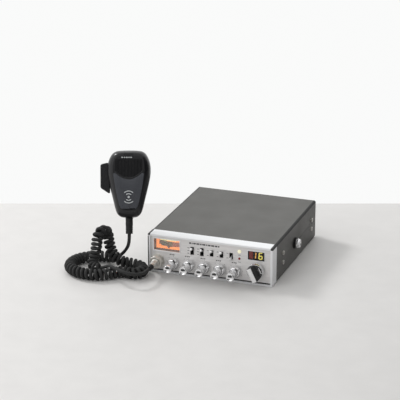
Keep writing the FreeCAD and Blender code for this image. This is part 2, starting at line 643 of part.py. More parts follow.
def make_speaker():
    frame = new_body("speaker_frame", y="speaker_along", z="sheet")
    turned(frame, "XZ_Plane", [
        ("speaker_radius - 5", "0"), ("speaker_radius", "0"), ("speaker_radius", "speaker_rim"),
        ("speaker_radius - 4", "speaker_rim"), ("magnet_radius - 2", "basket_tall"),
        ("magnet_radius", "basket_tall"), ("magnet_radius", "speaker_tall"), ("0", "speaker_tall"),
        ("0", "basket_tall - 1"),
        ("magnet_radius - 5", "basket_tall - 1")])
    cone = new_body("speaker_cone", y="speaker_along", z="sheet")
    turned(cone, "XZ_Plane", [
        ("speaker_radius - 6.6", "0.2"), ("speaker_radius - 6.1", "0.2"), ("magnet_radius - 5.8", "11.5"),
        ("0", "9.5"), ("0", "9"), ("magnet_radius - 6.5", "10.8")])


# Microphone socket and plug -----------------------------------------------------------------

SOCKET_FACE = "front + face_recess"


def make_socket():
    """A four-pin socket: flange, threaded collar and pins in its floor."""
    body = new_body("microphone_socket", x="socket_along", z="socket_row")
    turned(body, "XY_Plane", [
        ("0", f"{SOCKET_FACE} - 1.6"), ("socket_bore", f"{SOCKET_FACE} - 1.6"),
        ("socket_bore", f"{SOCKET_FACE} - socket_reach"), ("socket_barrel", f"{SOCKET_FACE} - socket_reach"),
        ("socket_barrel", f"{SOCKET_FACE} - 1.6"), ("socket_flange", f"{SOCKET_FACE} - 1.6"),
        ("socket_flange", SOCKET_FACE), ("socket_barrel", SOCKET_FACE),
        ("socket_barrel", f"{SOCKET_FACE} + 8"), ("0", f"{SOCKET_FACE} + 8")])
    pad(body, "XZ_Plane", f"-({SOCKET_FACE}) + 1", "5",
        [circle("pin_circle", "0", "pin_radius"), circle("-pin_circle", "0", "pin_radius"),
         circle("0", "pin_circle", "pin_radius"), circle("0", "-pin_circle", "pin_radius")])


def make_plug():
    ring = new_body("coupling_ring", x="socket_along", z="socket_row")
    ring_back = f"{SOCKET_FACE} - 2"
    ring_front = f"{ring_back} - ring_depth"
    turned(ring, "XY_Plane", [
        ("ring_bore", ring_back), ("ring_radius - 0.6", ring_back), ("ring_radius", f"{ring_back} - 0.6"),
        ("ring_radius", f"{ring_front} + 0.6"), ("ring_radius - 0.6", ring_front),
        ("ring_mouth", ring_front), ("ring_mouth", f"{ring_front} + 1"), ("ring_bore", f"{ring_front} + 1")])
    insert = new_body("plug_insert", x="socket_along", z="socket_row")
    insert_back = f"{SOCKET_FACE} - 2.4"
    pad(insert, "XZ_Plane", f"-({insert_back})", "5.6", [circle("0", "0", "socket_bore - 0.3")])
    pocket(insert, "XZ_Plane", f"-({insert_back}) + 4.4", "6",
           [circle("pin_circle", "0", "pin_radius + 0.2"), circle("-pin_circle", "0", "pin_radius + 0.2"),
            circle("0", "pin_circle", "pin_radius + 0.2"), circle("0", "-pin_circle", "pin_radius + 0.2")])
    shell = new_body("plug_shell", x="socket_along", z="socket_row")
    shell_back = f"{insert_back} - 5.6"
    turned(shell, "XY_Plane", [
        ("0", shell_back), ("ring_bore - 0.3", shell_back), ("ring_bore - 0.3", f"{shell_back} - 0.7"),
        ("plug_radius", f"{shell_back} - 0.7"), ("plug_radius", f"{SOCKET_FACE} - plug_reach + plug_taper"),
        ("plug_back", f"{SOCKET_FACE} - plug_reach"), ("0", f"{SOCKET_FACE} - plug_reach")])
    boot = new_body("plug_boot", x="socket_along", z="socket_row")
    turned(boot, "XY_Plane", [
        ("0", f"{SOCKET_FACE} - plug_reach"), ("boot_radius", f"{SOCKET_FACE} - plug_reach"),
        ("wire / 2 + 0.7", f"{SOCKET_FACE} - boot_reach"), ("0", f"{SOCKET_FACE} - boot_reach")])


# Microphone ---------------------------------------------------------------------------------

def microphone_body(label):
    """Start a sub-part in the microphone's own frame, which is turned and leans back."""
    turn = turn_about(Vector(0, 0, 1), "microphone_turn")
    lean = turn_about(Vector(1, 0, 0), "-microphone_lean")
    return new_body(label, x="microphone_x", y="microphone_y", z="microphone_z", turn=turn.multiply(lean))


def shell_outline(inset):
    """The shell's outline seen from the front, drawn in by an inset."""
    corners = [("shell_base", "0", 0, 1), ("shell_foot", "foot_rise", -1, 0.4),
               ("shell_half", "shell_waist", -1, 0), ("shell_top", "shell_tall", -0.7, -1)]
    right = [(f"{x} + {inset} * {dx}", f"{z} + {inset} * {dz}") for x, z, dx, dz in corners]
    left = [(f"-({x})", z) for x, z in reversed(right)]
    return polygon(right + left)


PTT_SIDE_LOW = "lever_low - 1.5"
PTT_SIDE_HIGH = "lever_high + 1.5"
MIC_SCREWS = [("0", "12"), ("-15", "80"), ("15", "80")]


def round_shell(body, face, front_radius):
    """Round the outline's corners, then the edge of the outer face."""
    def corner(edge, height):
        return runs_along(edge, 1) and abs(ends(edge)[0].z - number(height)) < 1e-6
    round_edges(body, "14", lambda edge: corner(edge, "shell_tall"))
    round_edges(body, "70", lambda edge: corner(edge, "shell_waist"))
    round_edges(body, "11", lambda edge: corner(edge, "foot_rise"))
    round_edges(body, front_radius, lambda edge: lies_at(edge, 1, face))


def make_microphone_shells():
    front = microphone_body("mic_front_shell")
    pad(front, "XZ_Plane", "0", "shell_front", [shell_outline("0")])
    round_shell(front, -SIZES["shell_front"], "8")
    pocket(front, "XZ_Plane", "shell_front - shell_wall - grille_deep", "shell_front",
           [shell_outline("shell_wall")])
    pocket(front, "XZ_Plane", "shell_front + 1", "1 + grille_deep",
           [rectangle("-grille_half", "grille_low", "grille_half", "grille_high")])
    pocket(front, "XZ_Plane", "ptt_thick / 2 + 0.5", "ptt_thick",
           [rectangle("-shell_half - 8", PTT_SIDE_LOW, "-shell_half + 11", PTT_SIDE_HIGH)])
    back = microphone_body("mic_back_shell")
    pad(back, "XZ_Plane", "-shell_back", "shell_back - joint_gap", [shell_outline("0")])
    round_shell(back, SIZES["shell_back"], "5")
    pocket(back, "XZ_Plane", "1", "shell_back - shell_wall + 1", [shell_outline("shell_wall")])
    pocket(back, "XZ_Plane", "1", "ptt_thick / 2 + 1.5",
           [rectangle("-shell_half - 8", PTT_SIDE_LOW, "-shell_half + 11", PTT_SIDE_HIGH)])
    pocket(back, "XZ_Plane", "1", "shell_back + 2", [circle("0", "button_row", "button_neck + 0.2")]
           + [circle(x, z, "screw_shank + joint_gap") for x, z in MIC_SCREWS])


def make_microphone_parts():
    grille = microphone_body("mic_grille")
    pad(grille, "XZ_Plane", "shell_front - grille_deep", "grille_deep + 0.5",
        [rectangle("-grille_half + joint_gap", "grille_low + joint_gap", "grille_half - joint_gap",
                   "grille_high - joint_gap")])
    rib_pitch = 2.6
    pocket(grille, "XZ_Plane", "shell_front + 2", "1.5 + 0.9",
           [rectangle(f"{index * rib_pitch} - 0.55", "grille_low + 1.5", f"{index * rib_pitch} + 0.55",
                      "grille_high - 1.5") for index in range(-6, 7)])
    lever = microphone_body("ptt_lever")
    knuckle = circle("-shell_half + knuckle_inset", "lever_low + knuckle_rise", "knuckle")
    pad(lever, "XZ_Plane", "-ptt_thick / 2 + 0.5", "ptt_thick - 1",
        [polygon([("-shell_half + 4", "lever_low"), ("-shell_half + 4", "lever_high"),
                  ("-ptt_out + 8", "lever_high"), ("-ptt_out", "lever_high - 2.5"),
                  ("-ptt_out", "lever_low + 7"), ("-shell_half + 2", "lever_low")])])
    outer = -SIZES["ptt_out"]
    round_edges(lever, "1.6", lambda edge: lies_at(edge, 0, outer))
    pad(lever, "XZ_Plane", "-ptt_thick / 2 + 0.5", "ptt_thick - 1", [knuckle])
    capsule = microphone_body("mic_capsule")
    pad(capsule, "XZ_Plane", "4", "shell_front - shell_wall - grille_deep - 4.2",
        [circle("0", "capsule_row", "capsule_radius")])
    switch = microphone_body("mic_switch")
    pad(switch, "XZ_Plane", "-1.2", "6", [rectangle("-20", "56", "-10", "66")])
    button = microphone_body("hang_button")
    pad(button, "XZ_Plane", "-shell_back - button_rise", "button_head",
        [circle("0", "button_row", "button_radius")])
    button_face = number("shell_back + button_rise")
    round_edges(button, "0.8", lambda edge: lies_at(edge, 1, button_face), "Chamfer")
    pad(button, "XZ_Plane", "-shell_back - button_rise + button_head - 0.5",
        "button_rise - button_head + 4.5", [circle("0", "button_row", "button_neck")])
    screws = microphone_body("mic_screws")
    pad(screws, "XZ_Plane", "-shell_back - 1", "1", [circle(x, z, "microphone_screw") for x, z in MIC_SCREWS])
    pad(screws, "XZ_Plane", "-shell_back - 0.2", "6", [circle(x, z, "screw_shank") for x, z in MIC_SCREWS])
    boot = microphone_body("mic_boot")
    turned(boot, "XZ_Plane", [
        ("0", "0"), ("cord_boot + 0.4", "0"), ("cord_boot", "-3"), ("cord_boot - 0.3", "-boot_length"),
        ("0", "-boot_length")])


# Cord ---------------------------------------------------------------------------------------
# One cord runs from the microphone to the plug: a straight lead down to the table, the curly
# part in a loop, a lobe and a standing arch, and a straight lead across it to the plug.

MIC_LEAD = [(-117.5, -111, 55), (-116.6, -113.5, 46.4), (-119, -112.3, 36.2), (-127.6, -104.5, 24.6),
            (-137, -98, 15), (-145, -95, 10)]
CURLY_CORD = [(-145, -95, 10), (-154, -93.5, 8.4), (-170, -95, 8.4), (-187, -104, 8.4),
              (-198, -122, 8.4), (-197, -144, 8.4), (-182, -160, 8.4), (-162, -165, 8.4),
              (-142, -162, 8.4), (-127, -148, 8.4), (-116, -136, 8.4), (-100, -143, 8.4),
              (-89, -129, 8.4), (-98, -112, 8.4), (-113, -110, 10), (-128, -115, 12.5),
              (-142, -114, 21), (-150, -108.5, 38), (-152, -107.7, 55.5), (-158, -126.8, 57.5),
              (-159.8, -130, 38), (-161, -130.5, 28), (-163.5, -137, 14), (-157, -144, 9.6),
              (-147, -145, 12)]
PLUG_LEAD = [(-147, -145, 12), (-140, -146, 15), (-132, -151, 20), (-121, -160, 21.5), (-105, -168, 20.5),
             (-90, -168, 18.5), (-79.5, -158, 17.2), (-78, -146, 17), (-78, -138, 17)]


def rounded_path(label, points):
    """Straight runs joined by tangent arcs, each as large as its two runs allow."""
    points = [Vector(*point) for point in points]
    edges = []
    radii = []
    start = points[0]
    for before, corner, after in zip(points, points[1:], points[2:]):
        back = (before - corner).normalize()
        onward = (after - corner).normalize()
        half_turn = (math.pi - back.getAngle(onward)) / 2
        tangent = 0.45 * min((before - corner).Length, (after - corner).Length)
        radius = tangent / math.tan(half_turn)
        radii.append(round(radius, 1))
        first = corner + back * tangent
        last = corner + onward * tangent
        inward = (back + onward).normalize()
        middle = corner + inward * (math.hypot(radius, tangent) - radius)
        edges.append(Part.LineSegment(start, first).toShape())
        edges.append(Part.Arc(first, middle, last).toShape())
        start = last
    edges.append(Part.LineSegment(start, points[-1]).toShape())
    print(label, "radii", radii)
    return Part.Wire(edges)


def make_cord(label, points, diameter):
    path = rounded_path(label, points)
    start = Vector(*points[0])
    heading = (Vector(*points[1]) - start).normalize()
    section = Part.Wire([Part.makeCircle(diameter / 2, start, heading)])
    tube = path.makePipeShell([section], True, True)
    expected = math.pi * diameter ** 2 / 4 * path.Length
    if not tube.isValid() or abs(tube.Volume / expected - 1) > 0.01:
        raise RuntimeError(f"{label}: volume {tube.Volume:.0f} against {expected:.0f}")
    print(label, "length", round(path.Length, 1))
    feature = document.addObject("Part::Feature", label)
    feature.Label = label
    feature.Shape = tube
    SUBPARTS.append(feature)


make_bezel()
make_faceplate()
make_front_board()
make_pots()
make_channel_switch()
make_toggle_bodies()
for control, control_place in zip(("calibrate", "volume", "squelch", "mic_gain", "rf_gain"), KNOB_PLACES):
    make_small_knob(f"{control}_knob", control_place)
make_channel_knob()
for index, switch_place in enumerate(SWITCH_PLACES):
    make_toggle_lever(f"toggle_lever_{index + 1}", switch_place, 1 if index == 4 else -1)
make_meter()
make_needle()
make_display()
make_lamp("receive_lamp", "receive_row", "receive_radius")
make_lamp("transmit_lamp", "transmit_row", "transmit_radius")
make_top_cover()
make_bottom_cover()
make_chassis()
make_rear_panel()
make_cover_screws()
make_rear_screws()
make_bolt("right", 1)
make_bolt("left", -1)
make_washers()
make_antenna_socket()
make_power_inlet()
make_jacks()
make_main_board()
make_tuning_cans()
make_capacitors()
make_heat_sink()
make_speaker()
make_socket()
make_plug()
make_microphone_shells()
make_microphone_parts()
make_cord("mic_lead", MIC_LEAD, SIZES["wire"])
make_cord("curly_cord", CURLY_CORD, SIZES["coil"])
make_cord("plug_lead", PLUG_LEAD, SIZES["wire"])

document.recompute()
for item in document.Objects:
    if "Invalid" in item.State or "Error" in item.State:
        raise RuntimeError(f"{item.Label} failed: {item.State}")
os.makedirs("parts", exist_ok=True)
for subpart in SUBPARTS:
    if subpart.Shape.isNull() or not subpart.Shape.isValid():
        raise RuntimeError(f"{subpart.Label} has no valid shape")
    subpart.Shape.exportStep(f"parts/{subpart.Label}.step")
print(len(SUBPARTS), "sub-parts")
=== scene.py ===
"""Mobile transceiver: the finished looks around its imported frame."""

import json
import math

import bmesh
import bpy
from mathutils import Matrix, Vector


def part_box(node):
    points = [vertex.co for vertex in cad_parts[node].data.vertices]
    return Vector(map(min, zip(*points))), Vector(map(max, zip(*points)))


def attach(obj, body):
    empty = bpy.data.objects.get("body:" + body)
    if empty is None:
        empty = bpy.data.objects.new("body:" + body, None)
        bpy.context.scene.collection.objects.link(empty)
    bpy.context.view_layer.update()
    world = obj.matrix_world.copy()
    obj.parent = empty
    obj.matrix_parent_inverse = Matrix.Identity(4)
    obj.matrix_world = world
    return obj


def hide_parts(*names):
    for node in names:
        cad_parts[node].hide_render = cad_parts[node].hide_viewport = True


bl_info = {
    "name": "Mobile transceiver",
    "version": (1, 0, 0),
    "blender": (4, 5, 0),
    "location": "View3D > Sidebar > Transceiver",
    "description": "Builds a mobile radio with a hand microphone around its frame",
    "category": "Add Mesh",
}

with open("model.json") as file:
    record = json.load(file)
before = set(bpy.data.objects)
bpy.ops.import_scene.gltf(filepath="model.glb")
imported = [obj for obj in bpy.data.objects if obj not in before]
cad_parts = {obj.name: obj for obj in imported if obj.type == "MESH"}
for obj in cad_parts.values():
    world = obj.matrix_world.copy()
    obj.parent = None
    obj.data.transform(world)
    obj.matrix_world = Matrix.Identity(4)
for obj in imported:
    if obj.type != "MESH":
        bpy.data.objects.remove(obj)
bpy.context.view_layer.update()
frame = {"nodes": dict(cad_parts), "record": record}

MM = 0.001
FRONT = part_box("front_bezel")[0][1]
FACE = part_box("faceplate")[0][1]
HALF_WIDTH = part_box("front_bezel")[1][0]
CASE_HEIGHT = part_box("front_bezel")[1][2]
PRINT_FRONT = FACE - 0.05 * MM
PRINT_BED = FACE + 0.1 * MM
KNOB_BACK = FACE - 1 * MM


def middle(node):
    """Return the middle of a frame node's box."""
    low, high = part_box(node)
    return Vector([(a + b) / 2 for a, b in zip(low, high)])


# Settings


def colour_setting(name, description, default):
    """One colour among the settings."""
    return bpy.props.FloatVectorProperty(name=name, description=description, subtype="COLOR", size=3,
                                         min=0, max=1, default=default)


class TransceiverColours(bpy.types.PropertyGroup):
    """Colours of the finishes."""

    cover: colour_setting("Cover paint", "Textured paint of both covers", (0.060, 0.059, 0.055))
    bezel: colour_setting("Bezel", "Satin silver of the front bezel", (0.78, 0.785, 0.80))
    faceplate: colour_setting("Faceplate", "Brushed front plate", (0.74, 0.725, 0.72))
    chrome: colour_setting("Chrome", "Bright plating of the knobs", (0.84, 0.84, 0.85))
    shell: colour_setting("Microphone shell", "Moulded shell of the microphone",
                          (0.006, 0.006, 0.0075))
    shell_panel: colour_setting("Microphone panel", "Lighter panel below the grille",
                                (0.060, 0.063, 0.073))
    amber: colour_setting("Meter light", "Lit card of the signal meter", (0.88, 0.25, 0.05))
    digits: colour_setting("Digits", "Lit last digit of the channel display", (0.80, 0.70, 0.14))
    table: colour_setting("Table", "Pale table top", (0.66, 0.648, 0.638))


class TransceiverSizes(bpy.types.PropertyGroup):
    """Sizes of the pieces made here."""

    wire: bpy.props.FloatProperty(
        name="Wire", description="Diameter of the cord", default=4.8 * MM, unit="LENGTH")
    coil: bpy.props.FloatProperty(
        name="Coil", description="Outer diameter of the curly part", default=16.5 * MM,
        unit="LENGTH")
    pitch: bpy.props.FloatProperty(
        name="Pitch", description="Step from one turn of the curl to the next",
        default=6.3 * MM, unit="LENGTH")
    turn_points: bpy.props.IntProperty(
        name="Points per turn", description="Control points in each turn of the curl",
        default=14, min=12)
    knob_ribs: bpy.props.IntProperty(
        name="Knob ribs", description="Grip ribs round each small knob", default=28, min=8)
    emblem: bpy.props.FloatProperty(
        name="Emblem", description="Outer radius of the sound wave mark", default=8.4 * MM,
        unit="LENGTH")


def colours():
    return bpy.context.scene.transceiver_colours


def sizes():
    return bpy.context.scene.transceiver_sizes


# Finishes

# Name: colour (or the name of its setting), roughness and what else grained() takes.
FINISHES = {
    "textured_cover_paint": ("cover", 0.52, dict(grain=750, depth=0.00012, mottle=0.45, wear=0.5)),
    "satin_silver_paint": ("bezel", 0.34, dict(metallic=0.35, grain=1800, depth=0.00001, mottle=0.06,
                                               wear=0.2)),
    "brushed_faceplate": ("faceplate", 0.42, dict(metallic=0.45, grain=700, depth=0.000012,
                                                  mottle=0.07, stretch=(0.03, 1, 1))),
    "bright_chrome": ("chrome", 0.16, dict(metallic=1.0, grain=300, depth=0.000002, mottle=0.05,
                                           spread=0.4)),
    "satin_aluminium": ((0.80, 0.80, 0.80), 0.38, dict(metallic=0.6, depth=0.00001, mottle=0.06)),
    "zinc_sheet": ((0.45, 0.46, 0.47), 0.42, dict(metallic=0.9, grain=160, depth=0.00001,
                                                  mottle=0.2)),
    "shell_moulding": ("shell", 0.33, dict(grain=1800, depth=0.00004, mottle=0.25, wear=0.9,
                                           shine=0.42)),
    "grille_moulding": ("shell", 0.4, dict(grain=1800, depth=0.00004, mottle=0.25, shine=0.15)),
    "panel_moulding": ("shell_panel", 0.44, dict(grain=2200, depth=0.00004, mottle=0.3, shine=0.3)),
    "emblem_grey": ((0.50, 0.52, 0.53), 0.4, dict(grain=1500, mottle=0.1)),
    "black_rubber": ((0.012, 0.012, 0.012), 0.5, dict(grain=1400, depth=0.00005, mottle=0.25,
                                                      shine=0.3)),
    "grey_print": ((0.05, 0.05, 0.055), 0.6, dict(grain=2500, depth=0.000004, mottle=0.2)),
    "solder_mask": ((0.02, 0.12, 0.05), 0.35, dict(grain=260, depth=0.00003, mottle=0.35)),
    "plain_aluminium": ((0.5, 0.51, 0.52), 0.38, dict(metallic=1.0, grain=300)),
    "cone_paper": ((0.03, 0.03, 0.03), 0.9, dict(grain=700, depth=0.0001, mottle=0.4)),
    "table_top": ("table", 0.5, dict(grain=30, depth=0.00001, mottle=0.02)),
    "card_black": ((0.02, 0.02, 0.02), 0.9, dict(grain=100)),
}

# Finish of each of the record's material slots. Four are the frame's own plain materials.
SLOT_FINISHES = {
    "bezel_finish": "satin_silver_paint", "faceplate_finish": "brushed_faceplate",
    "cover_finish": "textured_cover_paint", "zinc_plate": "zinc_sheet",
    "circuit_board": "solder_mask", "chrome_plate": "bright_chrome",
    "dark_moulding": "shell_moulding", "rubber_black": "black_rubber",
    "component_case": "plain_aluminium", "paper_cone": "cone_paper",
    "black_moulding": "black_moulding", "cord_jacket": "cord_jacket",
    "nickel_plate": "nickel_plate", "needle_paint": "needle_paint",
}
SLOT_LIGHTS = {
    "meter_card": ("meter_card_light", "amber", 1.1),
    "green_lens": ("receive_lamp_light", (0.93, 0.88, 0.62), 0.35),
    "red_lens": ("transmit_lamp_lens", (0.20, 0.015, 0.015), 0.12),
}
WINDOW_ALPHAS = {"smoked_window": 0.55, "clear_window": 0.16}


def grained(name, colour, roughness, metallic=0.0, grain=900.0, depth=0.00002, mottle=0.12,
            stretch=(1, 1, 1), wear=0.0, spread=0.12, shine=0.5):
    """A surface with fine grain in its colour, roughness and relief; wear lightens raised edges."""
    if isinstance(colour, str):
        colour = getattr(colours(), colour)
    material = bpy.data.materials.new(name)
    material.use_nodes = True
    nodes, links = material.node_tree.nodes, material.node_tree.links
    shader = nodes["Principled BSDF"]
    shader.inputs["Metallic"].default_value = metallic
    shader.inputs["Specular IOR Level"].default_value = shine
    place = nodes.new("ShaderNodeTexCoord")
    turn = nodes.new("ShaderNodeMapping")
    turn.inputs["Scale"].default_value = stretch
    links.new(place.outputs["Object"], turn.inputs["Vector"])
    noise = nodes.new("ShaderNodeTexNoise")
    noise.inputs["Scale"].default_value = grain
    noise.inputs["Detail"].default_value = 4
    links.new(turn.outputs["Vector"], noise.inputs["Vector"])
    broad = nodes.new("ShaderNodeTexNoise")
    broad.inputs["Scale"].default_value = 24
    broad.inputs["Detail"].default_value = 3
    links.new(place.outputs["Object"], broad.inputs["Vector"])
    ramp = nodes.new("ShaderNodeValToRGB")
    dark, light = ramp.color_ramp.elements
    dark.position, light.position = 0.3, 0.7
    dark.color = (*[c * (1 - mottle) for c in colour], 1)
    light.color = (*[min(1, c * (1 + mottle)) for c in colour], 1)
    links.new(noise.outputs["Fac"], ramp.inputs["Fac"])
    tone = ramp.outputs["Color"]
    if wear:
        geometry = nodes.new("ShaderNodeNewGeometry")
        edge = nodes.new("ShaderNodeValToRGB")
        edge.color_ramp.elements[0].position = 0.52
        edge.color_ramp.elements[1].position = 0.62
        links.new(geometry.outputs["Pointiness"], edge.inputs["Fac"])
        lighten = nodes.new("ShaderNodeMix")
        lighten.data_type = "RGBA"
        lighten.inputs["B"].default_value = (*[min(1, c * (1 + wear)) for c in colour], 1)
        links.new(edge.outputs["Color"], lighten.inputs["Factor"])
        links.new(tone, lighten.inputs["A"])
        tone = lighten.outputs["Result"]
    links.new(tone, shader.inputs["Base Color"])
    rough = nodes.new("ShaderNodeMapRange")
    rough.inputs["From Min"].default_value = 0.3
    rough.inputs["From Max"].default_value = 0.7
    rough.inputs["To Min"].default_value = max(0.02, roughness * (1 - spread))
    rough.inputs["To Max"].default_value = min(1, roughness * (1 + spread))
    links.new(broad.outputs["Fac"], rough.inputs["Value"])
    links.new(rough.outputs["Result"], shader.inputs["Roughness"])
    bump = nodes.new("ShaderNodeBump")
    bump.inputs["Strength"].default_value = 0.8
    bump.inputs["Distance"].default_value = depth
    links.new(noise.outputs["Fac"], bump.inputs["Height"])
    links.new(bump.outputs["Normal"], shader.inputs["Normal"])
    return material


def finish(name):
    """A finish by its name: one that is there already, or else one made from FINISHES."""
    if name in bpy.data.materials:
        return bpy.data.materials[name]
    colour, roughness, extras = FINISHES[name]
    return grained(name, colour, roughness, **extras)


def lit(name, colour, strength):
    """A surface that glows, a little unevenly."""
    if name in bpy.data.materials:
        return bpy.data.materials[name]
    material = grained(name, colour, 0.4, grain=400, mottle=0.05)
    shader = material.node_tree.nodes["Principled BSDF"]
    shader.inputs["Emission Strength"].default_value = strength
    tone = shader.inputs["Base Color"].links[0].from_socket
    material.node_tree.links.new(tone, shader.inputs["Emission Color"])
    return material


def slot_finish(slot):
    """The finish of one of the record's material slots; a window shows what lies behind it."""
    if slot in SLOT_LIGHTS:
        return lit(*SLOT_LIGHTS[slot])
    if slot not in WINDOW_ALPHAS:
        return finish(SLOT_FINISHES[slot])
    material = bpy.data.materials[slot]
    material.node_tree.nodes["Principled BSDF"].inputs["Alpha"].default_value = WINDOW_ALPHAS[slot]
    return material


# Mesh tools

SHARP_ANGLE = math.radians(38)


def add_piece(name, shape, material, body, smooth=True, matrix=None):
    """Make a mesh piece that rides on a body from a shape, which is (verts, faces)."""
    verts, faces = shape
    mesh = bpy.data.meshes.new(name)
    mesh.from_pydata([tuple(v) for v in verts], [], faces)
    if matrix is not None:
        mesh.transform(matrix)
    mesh.update()
    work = bmesh.new()
    work.from_mesh(mesh)
    bmesh.ops.remove_doubles(work, verts=work.verts, dist=1e-7)
    bmesh.ops.recalc_face_normals(work, faces=work.faces)
    work.to_mesh(mesh)
    work.free()
    piece = bpy.data.objects.new(name, mesh)
    bpy.context.scene.collection.objects.link(piece)
    piece.data.materials.append(material)
    if smooth:
        mesh.shade_smooth()
        mesh.set_sharp_from_angle(angle=SHARP_ANGLE)
    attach(piece, body)
    return piece


def apply_modifier(piece, kind, **values):
    """Add a modifier and keep its result in the mesh."""
    modifier = piece.modifiers.new(kind.title(), kind)
    for key, value in values.items():
        setattr(modifier, key, value)
    graph = bpy.context.evaluated_depsgraph_get()
    graph.update()
    result = bpy.data.meshes.new_from_object(piece.evaluated_get(graph))
    piece.modifiers.clear()
    old = piece.data
    piece.data = result
    bpy.data.meshes.remove(old)


def ring_faces(rows, count):
    """Faces between neighbouring rings of points, and then a cap on the first and the last ring."""
    faces = []
    for start in range(0, (rows - 1) * count, count):
        for index in range(count):
            after = (index + 1) % count
            faces.append((start + index, start + after, start + count + after,
                          start + count + index))
    return faces + [tuple(range(count)), tuple(range((rows - 1) * count, rows * count))]


def lathe(centre, profile, ribs=0, rib_rows=(), rib_depth=0.0, segments=64):
    """Turn a profile of (radius, y) about the line through centre along Y; some rows carry ribs."""
    count = ribs * 6 if ribs else segments
    verts = []
    for row, (radius, y) in enumerate(profile):
        for index in range(count):
            angle = 2 * math.pi * index / count
            wave = rib_depth * abs(math.sin(angle * ribs / 2)) if row in rib_rows else 0
            reach = radius - wave
            verts.append((centre[0] + reach * math.cos(angle), y,
                          centre[2] + reach * math.sin(angle)))
    return verts, ring_faces(len(profile), count)


def in_metres(profile):
    """Turn a profile in millimetres into metres."""
    return [(radius * MM, y * MM) for radius, y in profile]


def slab(outline, y_front, y_back):
    """A flat plate facing -Y with a given outline of (x, z)."""
    count = len(outline)
    verts = [(x, y, z) for y in (y_front, y_back) for x, z in outline]
    sides = ring_faces(2, count)[:-2]
    return verts, [tuple(range(count)), tuple(range(2 * count - 1, count - 1, -1))] + sides


def bar(x, z, wide, tall, lean=0.0):
    """The outline of a small upright bar about (x, z), leaning by an angle."""
    corners = [(-wide / 2, -tall / 2), (wide / 2, -tall / 2), (wide / 2, tall / 2),
               (-wide / 2, tall / 2)]
    cos, sin = math.cos(lean), math.sin(lean)
    return [(x + a * cos - b * sin, z + a * sin + b * cos) for a, b in corners]


def plate(left, right, bottom, top, y_front, y_back):
    """A slab with a rectangular outline."""
    return slab([(left, bottom), (right, bottom), (right, top), (left, top)], y_front, y_back)


def block(across, along, up):
    """A closed box between two places on each axis."""
    verts = [(x, y, z) for x in across for y in along for z in up]
    return verts, [(0, 1, 3, 2), (4, 6, 7, 5), (0, 4, 5, 1), (2, 3, 7, 6), (0, 2, 6, 4), (1, 5, 7, 3)]


def join_parts(parts):
    """Join several shapes into one."""
    verts, faces = [], []
    for more_verts, more_faces in parts:
        base = len(verts)
        verts.extend(more_verts)
        faces.extend(tuple(base + index for index in face) for face in more_faces)
    return verts, faces


def add_curve(name, points, resolution, closed=False):
    """Add a smooth spline whose control points are given."""
    curve = bpy.data.curves.new(name, "CURVE")
    curve.dimensions = "3D"
    curve.resolution_u = resolution
    spline = curve.splines.new("NURBS")
    spline.points.add(len(points) - 1)
    for point, place in zip(spline.points, points):
        point.co = (*place, 1)
    spline.order_u = 3
    spline.use_endpoint_u = not closed
    spline.use_cyclic_u = closed
    spline.use_smooth = True
    item = bpy.data.objects.new(name, curve)
    bpy.context.scene.collection.objects.link(item)
    return item


def smooth_line(points, closed=False, resolution=24):
    """Return the points of a smooth line whose control points are given."""
    route = add_curve("route", points, resolution, closed)
    curve = route.data
    bpy.context.view_layer.update()
    graph = bpy.context.evaluated_depsgraph_get()
    mesh = bpy.data.meshes.new_from_object(route.evaluated_get(graph))
    line = [vertex.co.copy() for vertex in mesh.vertices]
    bpy.data.objects.remove(route)
    bpy.data.curves.remove(curve)
    bpy.data.meshes.remove(mesh)
    return line


# Microphone

# Half outlines of (x, z) in millimetres in the microphone's own frame.
SHELL_SEAM = [(0, 0.6), (7, 0.6), (13, 2.2), (18.2, 8), (22.3, 26), (27.4, 46), (31.0, 65),
              (28.9, 81), (21.5, 93.4), (9, 94.6), (0, 94.6)]
SHELL_FACE = [(0, 12.0), (6.5, 12.2), (11, 14.2), (14.0, 20), (17.0, 33), (20.2, 50), (22.3, 66),
              (22.0, 79), (18, 89.6), (8, 91.2), (0, 91.2)]
SHELL_BACK = [(0, 8), (6, 8), (10.5, 9.5), (14.5, 14), (18, 30), (22.5, 48), (25.2, 66), (23, 80),
              (17, 87), (8, 88.5), (0, 88.5)]
# Depth of each ring of a shell, and its share of the way from the seam to the face.
FRONT_RINGS = [(0, 0), (-5, 0.0), (-9, 0.05), (-12.5, 0.2), (-15.5, 0.45), (-17.6, 0.72),
               (-18.8, 0.93), (-19, 1)]
BACK_RINGS = [(0.3, 0), (6, 0.0), (10, 0.15), (12.6, 0.45), (14.2, 0.8), (14.8, 1)]
FRONT_CROWN, BACK_CROWN = -0.7, 0.4
CROWN_SHARES = (0.92, 0.7, 0.4, 0.12)
LEVER_OUTLINE = [(-26.8, 35.0), (-28.8, 35.0), (-39.2, 42.0), (-40.0, 44.0), (-40.0, 74.0),
                 (-39.0, 75.6), (-32.0, 77.4), (-26.8, 77.4)]
LEVER_SLOT = ((-42, -19.9), (-6.8, 6.8), (33.6, 78.9))
EMBLEM_MIDDLE = 30.5
TOP_LINE = 85.6


def microphone_matrix():
    """Place of the microphone's own frame: x across, y to its back, z up from its lower end."""
    turn = Matrix.Rotation(math.radians(20), 4, "Z") @ Matrix.Rotation(math.radians(-17), 4, "X")
    return Matrix.Translation((-0.1197, -0.10495, 0.07604)) @ turn @ Matrix.Scale(MM, 4)


def microphone_piece(name, shape, material, body="microphone", smooth=True):
    """A piece whose shape is given in the microphone's own frame."""
    return add_piece(name, shape, finish(material), body, smooth,
                     microphone_matrix())


def full_outline(half):
    """Close a half outline of (x, z) by its mirror image and smooth it."""
    mirrored = [(-x, z) for x, z in reversed(half[1:-1])]
    line = smooth_line([(x, 0, z) for x, z in half + mirrored], closed=True, resolution=6)
    return [(point.x, point.z) for point in line]


